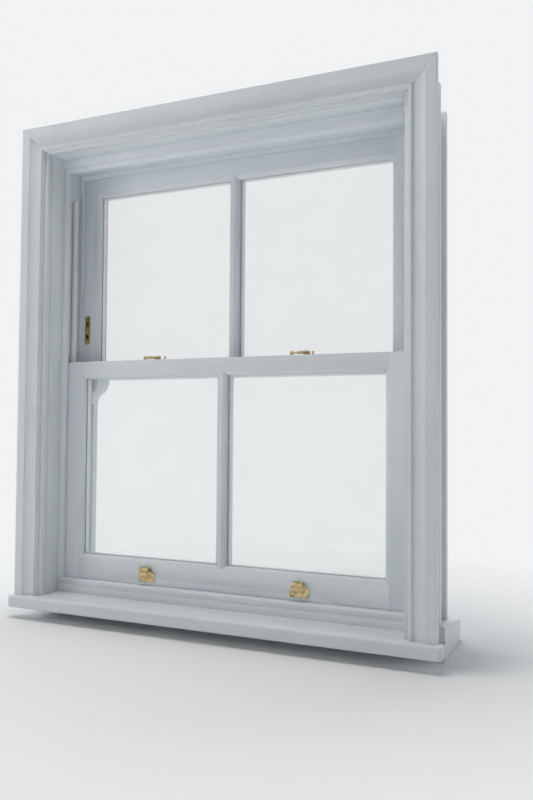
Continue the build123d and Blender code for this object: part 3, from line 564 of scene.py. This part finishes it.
@dataclass
class Maker:
    """Turns solids of the frame into finished pieces."""

    palette: Palette
    timber_edge: EasedEdge = EasedEdge(0.0009)
    weld: float = 0.000002
    flatness: float = math.radians(0.6)

    def softened(
        self,
        node: str,
        body: str,
        material: bpy.types.Material,
        slot: Slot,
        edge: EasedEdge | None = None,
    ) -> bpy.types.Object:
        """Copy a solid with its arrises eased, and let the copy stand for it.

        Args:
            node: the solid's name.
            body: the body that it moves with.
            material: the finish.
            slot: the record's material slot; not used.
            edge: the rounding, where it isn't that of timber.

        Returns:
            The finished piece.
        """
        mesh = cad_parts[node].data.copy()
        mesh.materials.clear()
        mesh.materials.append(material)
        self._merge_flats(mesh)
        piece = bpy.data.objects.new(node + "_finish", mesh)
        bpy.context.scene.collection.objects.link(piece)
        rounding = edge or self.timber_edge
        rounding.round_off(piece)
        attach(piece, body)
        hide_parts(node)
        log.info("%s eased by %.1f mm", node, rounding.width * 1000)
        return piece

    def _merge_flats(self, mesh: bpy.types.Mesh) -> None:
        """Join the triangles of each flat face, and shade the whole smoothly.

        Args:
            mesh: the mesh to change.
        """
        shape = bmesh.new()
        shape.from_mesh(mesh)
        bmesh.ops.remove_doubles(shape, verts=shape.verts, dist=self.weld)
        bmesh.ops.dissolve_limit(
            shape, angle_limit=self.flatness, verts=shape.verts, edges=shape.edges, delimit=set()
        )
        bmesh.ops.recalc_face_normals(shape, faces=shape.faces)
        for face in shape.faces:
            face.smooth = True
            face.material_index = 0
        shape.to_mesh(mesh)
        shape.free()

    @staticmethod
    def dress(node: str, material: bpy.types.Material) -> None:
        """Give a solid that stays a better material.

        Args:
            node: the solid's name.
            material: the finish.
        """
        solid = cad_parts[node]
        if not solid.material_slots:
            solid.data.materials.append(material)
        for place in solid.material_slots:
            place.material = material
        log.info("%s dressed", node)


class ShapeBench(NodeBench):
    """A tree of Geometry Nodes with named inputs, and the ways to add to it."""

    KINDS = {
        float: "NodeSocketFloat",
        int: "NodeSocketInt",
        bpy.types.Material: "NodeSocketMaterial",
    }

    def __init__(self, name: str, values: dict[str, object]) -> None:
        """Start a tree.

        Args:
            name: the tree's name.
            values: what each named input is set to.
        """
        super().__init__(bpy.data.node_groups.new(name, "GeometryNodeTree"))
        self.values = values
        face = self.tree.interface
        for way in ("INPUT", "OUTPUT"):
            face.new_socket("Geometry", in_out=way, socket_type="NodeSocketGeometry")
        for label, value in values.items():
            face.new_socket(label, in_out="INPUT", socket_type=self.KINDS[type(value)])
        self.given = self.add("NodeGroupInput").outputs

    def get(
        self,
        kind: str,
        sockets: Sockets | None = None,
        result: int | str = 0,
        **settings: object,
    ) -> bpy.types.NodeSocket:
        """Add any node and take one of its outputs.

        Args:
            kind: the node's type name.
            sockets: values or output sockets for its inputs, by name or place.
            result: the output that is returned.
            settings: properties of the node.

        Returns:
            The chosen output.
        """
        return self.add(kind, sockets, **settings).outputs[result]

    def number(self, operation: str, first: object, second: object) -> bpy.types.NodeSocket:
        """Work out one number.

        Args:
            operation: the operation, in Blender's words.
            first: the first operand.
            second: the second operand.

        Returns:
            The result.
        """
        return self.get("ShaderNodeMath", {0: first, 1: second}, operation=operation)

    def vector(self, x: object = 0.0, y: object = 0.0, z: object = 0.0) -> bpy.types.NodeSocket:
        """Put three numbers together.

        Args:
            x: the first number.
            y: the second number.
            z: the third number.

        Returns:
            The vector.
        """
        return self.get("ShaderNodeCombineXYZ", {"X": x, "Y": y, "Z": z})

    def join(self, *parts: bpy.types.NodeSocket) -> bpy.types.NodeSocket:
        """Join several geometries.

        Args:
            parts: the geometries.

        Returns:
            The joined geometry.
        """
        joined = self.add("GeometryNodeJoinGeometry")
        for part in parts:
            self.tree.links.new(part, joined.inputs[0])
        return joined.outputs[0]

    def finished(
        self,
        geometry: bpy.types.NodeSocket,
        finish: bpy.types.NodeSocket,
        chosen: bpy.types.NodeSocket | bool = True,
    ) -> bpy.types.NodeSocket:
        """Give a geometry its material.

        Args:
            geometry: the geometry.
            finish: the material.
            chosen: the faces that get it.

        Returns:
            The geometry with its material.
        """
        sockets = {"Geometry": geometry, "Selection": chosen, "Material": finish}
        return self.get("GeometryNodeSetMaterial", sockets)

    def grow(
        self,
        name: str,
        start: bpy.types.Mesh,
        geometry: bpy.types.NodeSocket,
        edge: EasedEdge | None = None,
    ) -> bpy.types.Object:
        """End the tree, run it on a mesh and keep the result as a plain mesh.

        Args:
            name: the finished piece's name.
            start: what the tree starts from.
            geometry: what the tree gives out.
            edge: the rounding of its arrises, if any.

        Returns:
            The finished piece.
        """
        self.add("NodeGroupOutput", {"Geometry": geometry})
        holder = bpy.data.objects.new(name + "_holder", start)
        bpy.context.scene.collection.objects.link(holder)
        nodes = holder.modifiers.new("grow", "NODES")
        nodes.node_group = self.tree
        for item in self.tree.interface.items_tree:
            if item.in_out == "INPUT" and item.name in self.values:
                nodes[item.identifier] = self.values[item.name]
        if edge:
            edge.round_off(holder)
        graph = bpy.context.evaluated_depsgraph_get()
        mesh = bpy.data.meshes.new_from_object(holder.evaluated_get(graph))
        bpy.data.objects.remove(holder)
        piece = bpy.data.objects.new(name, mesh)
        bpy.context.scene.collection.objects.link(piece)
        return piece


@dataclass(frozen=True)
class ArchitraveSection:
    """The moulding's outline: quirk and bead at the opening, a cove, then a stepped flat band."""

    width: float = 0.066
    thickness: float = 0.018
    quirk: float = 0.007
    bead_start: float = 0.003
    bead_end: float = 0.011
    bead_height: float = 0.013
    cove_start: float = 0.008
    cove_hollow: tuple[float, float] = (0.027, 0.010)
    band_start: float = 0.040
    band_step: float = 0.002
    edge: float = 0.001
    bead_steps: int = 12
    cove_steps: int = 20

    @staticmethod
    def arc(start: Vector, through: Vector, end: Vector, steps: int) -> list[Vector]:
        """Points on the circle through three points.

        Args:
            start: the first point.
            through: a point on the way.
            end: the last point.
            steps: how many chords the arc has.

        Returns:
            The points, with both ends.
        """
        first = through - start
        second = end - start
        doubled = 2.0 * (first.x * second.y - first.y * second.x)
        across = (second.y * first.length_squared - first.y * second.length_squared) / doubled
        along = (first.x * second.length_squared - second.x * first.length_squared) / doubled
        centre = start + Vector((across, along))
        radius = (centre - start).length
        begin, middle, finish = (
            math.atan2(point.y - centre.y, point.x - centre.x) for point in (start, through, end)
        )
        turn = (finish - begin) % math.tau
        if (middle - begin) % math.tau > turn:
            turn -= math.tau
        angles = (begin + turn * step / steps for step in range(steps + 1))
        return [centre + radius * Vector((math.cos(angle), math.sin(angle))) for angle in angles]

    def outline(self) -> list[Vector]:
        """The closed outline, as distance from the opening and height off the wall.

        Returns:
            The corners in order.
        """
        half_bead = (self.bead_end - self.bead_start) / 2
        bead_side = self.bead_height - half_bead
        bead = self.arc(
            Vector((self.bead_start, bead_side)),
            Vector((self.bead_start + half_bead, self.bead_height)),
            Vector((self.bead_end, bead_side)),
            self.bead_steps,
        )
        cove = self.arc(
            Vector((self.bead_end, self.cove_start)),
            Vector(self.cove_hollow),
            Vector((self.band_start, self.thickness - self.band_step)),
            self.cove_steps,
        )
        inner = [Vector((0.0, 0.0)), Vector((0.0, self.quirk)), Vector((self.bead_start, self.quirk))]
        outer = [
            Vector((self.band_start, self.thickness)),
            Vector((self.width - self.edge, self.thickness)),
            Vector((self.width, self.thickness - self.edge)),
            Vector((self.width, 0.0)),
        ]
        return inner + bead + cove + outer


@dataclass
class Architrave:
    """The mitred moulding round the opening, swept by rule from one section."""

    maker: Maker
    section: ArchitraveSection = field(default_factory=ArchitraveSection)
    edge: EasedEdge = EasedEdge(0.0007)
    first_draw: float = 0.01
    weld: float = 0.00001
    replaced: tuple[str, ...] = ("architrave_left", "architrave_right", "architrave_head")

    def build(self) -> bpy.types.Object:
        """Sweep the section up both legs and over the head.

        Returns:
            The finished piece.
        """
        leg_low, leg_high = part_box("architrave_right")
        head_low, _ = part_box("architrave_head")
        mesh = bpy.data.meshes.new("architrave_section")
        corners = [(point.x, -point.y, 0.0) for point in self.section.outline()]
        mesh.from_pydata(corners, [], [tuple(range(len(corners)))])
        bench = ShapeBench(
            "mitred_surround",
            {
                "Half Opening": leg_low.x,
                "Soffit": head_low.z,
                "Foot": leg_low.z,
                "Wall": leg_high.y,
                "Leg Finish": self.maker.palette.casing_upright,
                "Head Finish": self.maker.palette.casing_across,
            },
        )
        piece = bench.grow("architrave_moulding", mesh, self._surround(bench), self.edge)
        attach(piece, FRAME_BODY)
        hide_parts(*self.replaced)
        log.info("architrave swept round the opening")
        return piece

    def _surround(self, bench: ShapeBench) -> bpy.types.NodeSocket:
        """Sweep the section along three bars that meet in mitres.

        Args:
            bench: the tree's bench.

        Returns:
            The whole surround with its materials.
        """
        given = bench.given
        place = bench.get("GeometryNodeInputPosition")
        parts = bench.add("ShaderNodeSeparateXYZ", {0: place}).outputs
        section = bench.get(
            "GeometryNodeStoreNamedAttribute",
            {"Geometry": given["Geometry"], "Name": "outward", "Value": parts["X"]},
            data_type="FLOAT",
            domain="POINT",
        )
        reach = bench.get("GeometryNodeInputNamedAttribute", {"Name": "outward"}, data_type="FLOAT")
        off_wall = bench.number("ADD", parts["Y"], given["Wall"])
        side = bench.number("ADD", reach, given["Half Opening"])
        over = bench.number("ADD", reach, given["Soffit"])
        leg_foot = bench.vector(side, off_wall, given["Foot"])
        mitre = bench.vector(side, parts["Y"], over)
        leg = self._bar(bench, section, leg_foot, mitre)
        mirrored = bench.get("GeometryNodeTransform", {"Geometry": leg, "Scale": (-1.0, 1.0, 1.0)})
        twin = bench.get("GeometryNodeFlipFaces", {0: mirrored})
        far_mitre = bench.vector(bench.number("MULTIPLY", side, -1.0), off_wall, over)
        head = bench.get(
            "GeometryNodeStoreNamedAttribute",
            {"Geometry": self._bar(bench, section, far_mitre, mitre), "Name": "head", "Value": True},
            data_type="BOOLEAN",
            domain="FACE",
        )
        whole = bench.get("GeometryNodeRealizeInstances", {"Geometry": bench.join(leg, twin, head)})
        legs_done = bench.finished(whole, given["Leg Finish"])
        on_head = bench.get("GeometryNodeInputNamedAttribute", {"Name": "head"}, data_type="BOOLEAN")
        return bench.finished(legs_done, given["Head Finish"], on_head)

    def _bar(
        self,
        bench: ShapeBench,
        section: bpy.types.NodeSocket,
        start: bpy.types.NodeSocket,
        end: bpy.types.NodeSocket,
    ) -> bpy.types.NodeSocket:
        """Stretch the section between two cuts, and close both ends.

        Args:
            bench: the tree's bench.
            section: the flat section.
            start: where each point stands at the first cut.
            end: where each point stands at the second cut.

        Returns:
            The closed bar.
        """
        first = bench.get("GeometryNodeSetPosition", {"Geometry": section, "Position": start})
        drawn = bench.add(
            "GeometryNodeExtrudeMesh",
            {"Mesh": first, "Offset Scale": self.first_draw, "Individual": False},
            mode="FACES",
        ).outputs
        last = bench.get(
            "GeometryNodeSetPosition",
            {"Geometry": drawn["Mesh"], "Selection": drawn["Top"], "Position": end},
        )
        closed = bench.join(last, bench.get("GeometryNodeFlipFaces", {0: first}))
        welded = bench.get("GeometryNodeMergeByDistance", {"Geometry": closed, "Distance": self.weld})
        return bench.get("GeometryNodeSetShadeSmooth", {0: welded})


@dataclass
class Joinery:
    """The fixed frame: sill, jambs, linings, beads, casing and board."""

    maker: Maker
    paired: tuple[str, ...] = (
        "jamb",
        "inner_lining",
        "outer_lining",
        "parting_bead",
        "staff_bead",
    )
    across: tuple[str, ...] = (
        "sill",
        "head",
        "inner_lining_head",
        "outer_lining_head",
        "parting_bead_head",
        "staff_bead_head",
        "staff_bead_sill",
    )
    casing_across: tuple[str, ...] = ("reveal_lining_head", "window_board")

    def build(self) -> None:
        """Finish every member of the frame."""
        palette = self.maker.palette
        groups = (
            ([f"{part}_{side}" for part in self.paired for side in SIDES], palette.upright),
            (self.across, palette.across),
            ([f"reveal_lining_{side}" for side in SIDES], palette.casing_upright),
            (self.casing_across, palette.casing_across),
        )
        for names, material in groups:
            for node in names:
                self.maker.softened(node, FRAME_BODY, material, Slot.FRAME_PAINT)
        Architrave(self.maker).build()


@dataclass
class SlidingSash:
    """One sash: its members, panes, spacers and putty."""

    maker: Maker
    sash: Sash
    rails: tuple[str, ...]
    putty_edge: EasedEdge = EasedEdge(0.0006)

    def build(self) -> None:
        """Finish the members and dress the glazing."""
        palette = self.maker.palette
        word = self.sash.value
        for part in ("stile_left", "stile_right", "glazing_bar"):
            self.maker.softened(f"{word}_{part}", self.sash.body, palette.upright, Slot.SASH_PAINT)
        for node in self.rails:
            self.maker.softened(node, self.sash.body, palette.across, Slot.SASH_PAINT)
        for side in SIDES:
            self.maker.dress(f"{word}_glass_{side}", palette.glass)
        self.maker.dress(f"{word}_spacers", palette.spacer)
        putty = f"{word}_putty"
        self.maker.softened(putty, self.sash.body, palette.putty, Slot.PUTTY, self.putty_edge)


@dataclass
class ScrewSet:
    """The slotted countersunk screws of one sash, set out by a tree of Geometry Nodes."""

    maker: Maker
    sash: Sash
    seed: int
    places: list[Place]
    head_radius: float = 0.0034
    head_depth: float = 0.0018
    shank_radius: float = 0.0016
    length: float = 0.016
    slot_width: float = 0.0009
    slot_depth: float = 0.0008
    slot_reach: float = 2.2
    head_sides: int = 32
    shank_sides: int = 16

    def build(self) -> bpy.types.Object:
        """Place the screws and make them one mesh.

        Returns:
            The finished piece.
        """
        name = f"{self.sash.value}_screws"
        seats = bpy.data.meshes.new(name + "_seats")
        seats.from_pydata([tuple(place) for place, _ in self.places], [], [])
        aims = seats.attributes.new("aim", "FLOAT_VECTOR", "POINT")
        for index, (_, aim) in enumerate(self.places):
            aims.data[index].vector = aim
        bench = ShapeBench(
            name + "_tree",
            {
                "Head Radius": self.head_radius,
                "Head Depth": self.head_depth,
                "Shank Radius": self.shank_radius,
                "Length": self.length,
                "Slot Width": self.slot_width,
                "Slot Depth": self.slot_depth,
                "Seed": self.seed,
                "Finish": self.maker.palette.screw,
            },
        )
        placed = bench.get(
            "GeometryNodeInstanceOnPoints",
            {
                "Points": bench.given["Geometry"],
                "Instance": self._screw(bench),
                "Rotation": self._turn(bench),
            },
        )
        real = bench.get("GeometryNodeRealizeInstances", {"Geometry": placed})
        piece = bench.grow(name, seats, bench.finished(real, bench.given["Finish"]))
        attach(piece, self.sash.body)
        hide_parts(f"{self.sash.value}_sash_screws")
        log.info("%s: %d screws", name, len(self.places))
        return piece

    def _screw(self, bench: ShapeBench) -> bpy.types.NodeSocket:
        """Make one screw with its head's face at the origin, pointing up the Z axis.

        Args:
            bench: the tree's bench.

        Returns:
            The screw's geometry.
        """
        given = bench.given
        cone = bench.get(
            "GeometryNodeMeshCone",
            {
                "Vertices": self.head_sides,
                "Radius Bottom": given["Head Radius"],
                "Radius Top": given["Shank Radius"],
                "Depth": given["Head Depth"],
            },
            "Mesh",
        )
        shank_length = bench.number("SUBTRACT", given["Length"], given["Head Depth"])
        shank = bench.get(
            "GeometryNodeMeshCylinder",
            {"Vertices": self.shank_sides, "Radius": given["Shank Radius"], "Depth": shank_length},
            "Mesh",
        )
        middle = bench.number("MULTIPLY", shank_length, 0.5)
        drop = bench.vector(z=bench.number("ADD", given["Head Depth"], middle))
        lowered = bench.get("GeometryNodeTransform", {"Geometry": shank, "Translation": drop})
        slot_size = bench.vector(
            bench.number("MULTIPLY", given["Head Radius"], self.slot_reach),
            given["Slot Width"],
            bench.number("MULTIPLY", given["Slot Depth"], 2.0),
        )
        slot = bench.get("GeometryNodeMeshCube", {"Size": slot_size}, "Mesh")
        head = bench.get(
            "GeometryNodeMeshBoolean",
            {"Mesh 1": cone, "Mesh 2": slot},
            "Mesh",
            operation="DIFFERENCE",
            solver="EXACT",
        )
        return bench.join(head, lowered)

    @staticmethod
    def _turn(bench: ShapeBench) -> bpy.types.NodeSocket:
        """Point each screw the way its seat says, with its slot left at any angle.

        Args:
            bench: the tree's bench.

        Returns:
            The rotation.
        """
        aim = bench.get("GeometryNodeInputNamedAttribute", {"Name": "aim"}, data_type="FLOAT_VECTOR")
        aimed = bench.get("FunctionNodeAlignRotationToVector", {"Vector": aim}, axis="Z")
        limits = {2: 0.0, 3: math.pi, "Seed": bench.given["Seed"]}
        angle = bench.get("FunctionNodeRandomValue", limits, 1, data_type="FLOAT")
        return bench.get(
            "FunctionNodeRotateRotation",
            {"Rotation": aimed, "Rotate By": bench.vector(z=angle)},
            rotation_space="LOCAL",
        )


@dataclass
class Hardware:
    """The brass: hook lifts, fasteners with their keepers, and travel stops."""

    maker: Maker
    edge: EasedEdge = EasedEdge(0.0004)
    plate: float = 0.0025
    spacing: float = 0.218
    lift_screws: float = 0.034
    lift_screw_rise: float = 0.008
    base_screws: float = 0.040
    keeper_screws: float = 0.030
    keeper_half: float = 0.022
    keeper_screw_setback: float = 0.006
    stop_screws: float = 0.0755
    stop_half: float = 0.0095
    lower_seed: int = 4
    upper_seed: int = 7

    def build(self) -> None:
        """Finish the brass and set its screws."""
        bodies = {
            f"{part}_{side}": Sash.LOWER.body
            for part in ("sash_lift", "fastener_base")
            for side in SIDES
        }
        bodies |= {node: Sash.UPPER.body for node in ("fastener_keepers", "travel_stop_cases")}
        for part, word in (("fastener_lever", "lever"), ("travel_stop_lug", "lug")):
            bodies |= {f"{part}_{side}": f"{word}_{side}" for side in SIDES}
        for node, body in bodies.items():
            self.maker.softened(node, body, self.maker.palette.brass, Slot.BRASS, self.edge)
        ScrewSet(self.maker, Sash.LOWER, self.lower_seed, list(self._lower_places())).build()
        ScrewSet(self.maker, Sash.UPPER, self.upper_seed, list(self._upper_places())).build()

    def _rail_plate_top(self) -> float:
        """The height of the plates on the meeting rails."""
        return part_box("lower_meeting_rail")[1].z + self.plate

    def _lower_places(self) -> Iterator[Place]:
        """Where the screws of the lifts and of the fasteners' bases sit.

        Yields:
            Head centres, with the way each screw points.
        """
        top_z = self._rail_plate_top()
        face_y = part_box("lower_stile_left")[0].y - self.plate
        base_low, base_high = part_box("fastener_base_left")
        base_y = (base_low.y + base_high.y) / 2
        lift_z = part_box("sash_lift_left")[0].z + self.lift_screw_rise
        for side in (-1.0, 1.0):
            for end in (-0.5, 0.5):
                centre = side * self.spacing
                yield Vector((centre + end * self.lift_screws, face_y, lift_z)), INWARD
                yield Vector((centre + end * self.base_screws, base_y, top_z)), DOWN

    def _upper_places(self) -> Iterator[Place]:
        """Where the screws of the keepers and of the travel stops sit.

        Yields:
            Head centres, with the way each screw points.
        """
        top_z = self._rail_plate_top()
        keeper_low, keeper_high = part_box("fastener_keepers")
        keeper_y = keeper_high.y - self.keeper_screw_setback
        case_low, case_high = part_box("travel_stop_cases")
        stop_x = case_high.x - self.stop_half
        stop_z = (case_low.z + case_high.z) / 2
        centres = (keeper_low.x + self.keeper_half, keeper_high.x - self.keeper_half)
        for side, centre in zip((-1.0, 1.0), centres):
            for end in (-0.5, 0.5):
                yield Vector((centre + end * self.keeper_screws, keeper_y, top_z)), DOWN
                yield Vector((side * stop_x, case_low.y, stop_z + end * self.stop_screws)), INWARD


@dataclass
class Balances:
    """Tubes on the jambs, rods and feet on the sashes, and the seal under the bottom rail."""

    maker: Maker

    def build(self) -> None:
        """Dress the parts that run in the channels."""
        palette = self.maker.palette
        self.maker.dress("balance_tubes", palette.tube)
        for sash in Sash:
            self.maker.dress(f"{sash.value}_balance_rods", palette.rod)
            self.maker.dress(f"{sash.value}_balance_feet", palette.foot)
        self.maker.dress("bottom_rail_seal", palette.seal)


@dataclass(frozen=True)
class Lamp:
    """One soft lamp that lights the window and is never seen itself."""

    name: str
    place: Triple
    target: Triple
    size: tuple[float, float]
    power: float
    colour: Triple

    def hang(self) -> None:
        """Hang the lamp, pointed at its target."""
        data = bpy.data.lights.new(self.name, "AREA")
        data.shape = "RECTANGLE"
        data.size, data.size_y = self.size
        data.energy = self.power
        data.color = self.colour
        lamp = bpy.data.objects.new(self.name, data)
        lamp.location = self.place
        way = Vector(self.target) - Vector(self.place)
        lamp.rotation_euler = way.to_track_quat("-Z", "Y").to_euler()
        lamp.visible_camera = False
        lamp.visible_glossy = False
        bpy.context.scene.collection.objects.link(lamp)


WINDOW_LAMP = Lamp("window", (0.3, 2.7, 2.1), (0.0, 0.0, 0.7), (3.4, 2.4), 9.0, (0.94, 0.98, 1.0))
TOP_LAMP = Lamp("overhead", (-0.4, -0.3, 3.4), (0.0, -0.1, 0.0), (2.0, 2.0), 73.0, (1.0, 0.99, 0.97))
FILL_LAMP = Lamp("fill", (-2.6, -2.3, 1.5), (0.0, 0.0, 0.6), (1.2, 1.2), 20.0, (1.0, 0.98, 0.95))


@dataclass
class Studio:
    """The floor, the lamps, the world and the camera."""

    camera_at: Triple = (0.9001, -1.8128, 0.5207)
    yaw: float = 23.791
    pitch: float = 2.012
    roll: float = 0.417
    focal_px: float = 766.7
    frame_px: tuple[int, int] = (533, 800)
    sensor: float = 36.0
    clip: tuple[float, float] = (0.05, 100.0)
    floor_half: float = 30.0
    paper: Triple = (0.93, 0.935, 0.94)
    paper_roughness: float = 0.6
    paper_fade: tuple[float, float] = (0.62, 1.4)
    background: Triple = (0.88, 0.89, 0.90)
    sky: Triple = (0.92, 0.965, 1.0)
    room_light: float = 0.11
    day_light: float = 0.85
    daylight_turn: tuple[float, float] = (-0.25, 0.7)
    lamps: tuple[Lamp, ...] = (WINDOW_LAMP, TOP_LAMP, FILL_LAMP)

    def build(self) -> None:
        """Set up everything round the window."""
        self._floor()
        self._world()
        for lamp in self.lamps:
            lamp.hang()
        self._camera()

    def _floor(self) -> None:
        """Lay a plain pale floor that fades to the background away from the window."""
        half = self.floor_half
        mesh = bpy.data.meshes.new("studio_floor")
        corners = [(-half, -half, 0.0), (half, -half, 0.0), (half, half, 0.0), (-half, half, 0.0)]
        mesh.from_pydata(corners, [], [(0, 1, 2, 3)])
        floor = bpy.data.objects.new("studio_floor", mesh)
        bpy.context.scene.collection.objects.link(floor)
        bench = ShaderBench.for_material("floor_paper")
        point = bench.object_point((1.0, 1.0, 0.0))
        reach = bench.node("ShaderNodeVectorMath", {0: point}, "Value", operation="LENGTH")
        paper = bench.node(
            "ShaderNodeBsdfDiffuse", {"Color": (*self.paper, 1.0), "Roughness": self.paper_roughness}
        )
        glow = bench.node("ShaderNodeEmission", {"Color": (*self.background, 1.0), "Strength": 1.0})
        far = reach.spread(*self.paper_fade)
        mixed = bench.node("ShaderNodeMixShader", {0: far * bench.seen(), 1: paper, 2: glow})
        mesh.materials.append(bench.close(mixed))

    def _world(self) -> None:
        """Light the window like a room with daylight outside, before a pale background."""
        world = bpy.data.worlds.new("studio_room")
        bpy.context.scene.world = world
        bench = ShaderBench(world, "ShaderNodeOutputWorld")
        way = bench.node("ShaderNodeTexCoord", result="Generated")
        outward = bench.node("ShaderNodeSeparateXYZ", {0: way}, "Y")
        strength = outward.spread(*self.daylight_turn, self.room_light, self.day_light)
        light = bench.node("ShaderNodeBackground", {"Color": (*self.sky, 1.0), "Strength": strength})
        pale = bench.node("ShaderNodeBackground", {"Color": (*self.background, 1.0), "Strength": 1.0})
        bench.close(bench.node("ShaderNodeMixShader", {0: bench.seen(), 1: light, 2: pale}))

    def _camera(self) -> None:
        """Stand the camera where the photograph was taken from."""
        turn, tilt, lean = (math.radians(angle) for angle in (self.yaw, self.pitch, self.roll))
        forward = Vector(
            (-math.sin(turn) * math.cos(tilt), math.cos(turn) * math.cos(tilt), math.sin(tilt))
        )
        level = Vector((math.cos(turn), math.sin(turn), 0.0))
        above = level.cross(forward)
        right = level * math.cos(lean) + above * math.sin(lean)
        up = above * math.cos(lean) - level * math.sin(lean)
        data = bpy.data.cameras.new("photo_camera")
        data.sensor_width = self.sensor
        data.lens = self.focal_px * self.sensor / max(self.frame_px)
        data.clip_start, data.clip_end = self.clip
        camera = bpy.data.objects.new("photo_camera", data)
        axes = Matrix((right, up, -forward)).transposed().to_4x4()
        camera.matrix_world = Matrix.Translation(self.camera_at) @ axes
        bpy.context.scene.collection.objects.link(camera)
        bpy.context.scene.camera = camera


def main() -> None:
    """Build the window and its studio."""
    logging.basicConfig(level=logging.INFO, format="%(message)s")
    bpy.context.scene.view_settings.view_transform = "Standard"
    maker = Maker(Palette.mix())
    Joinery(maker).build()
    SlidingSash(maker, Sash.LOWER, ("bottom_rail", "lower_meeting_rail")).build()
    SlidingSash(maker, Sash.UPPER, ("top_rail", "upper_meeting_rail")).build()
    Hardware(maker).build()
    Balances(maker).build()
    Studio().build()


if __name__ == "__main__":
    main()
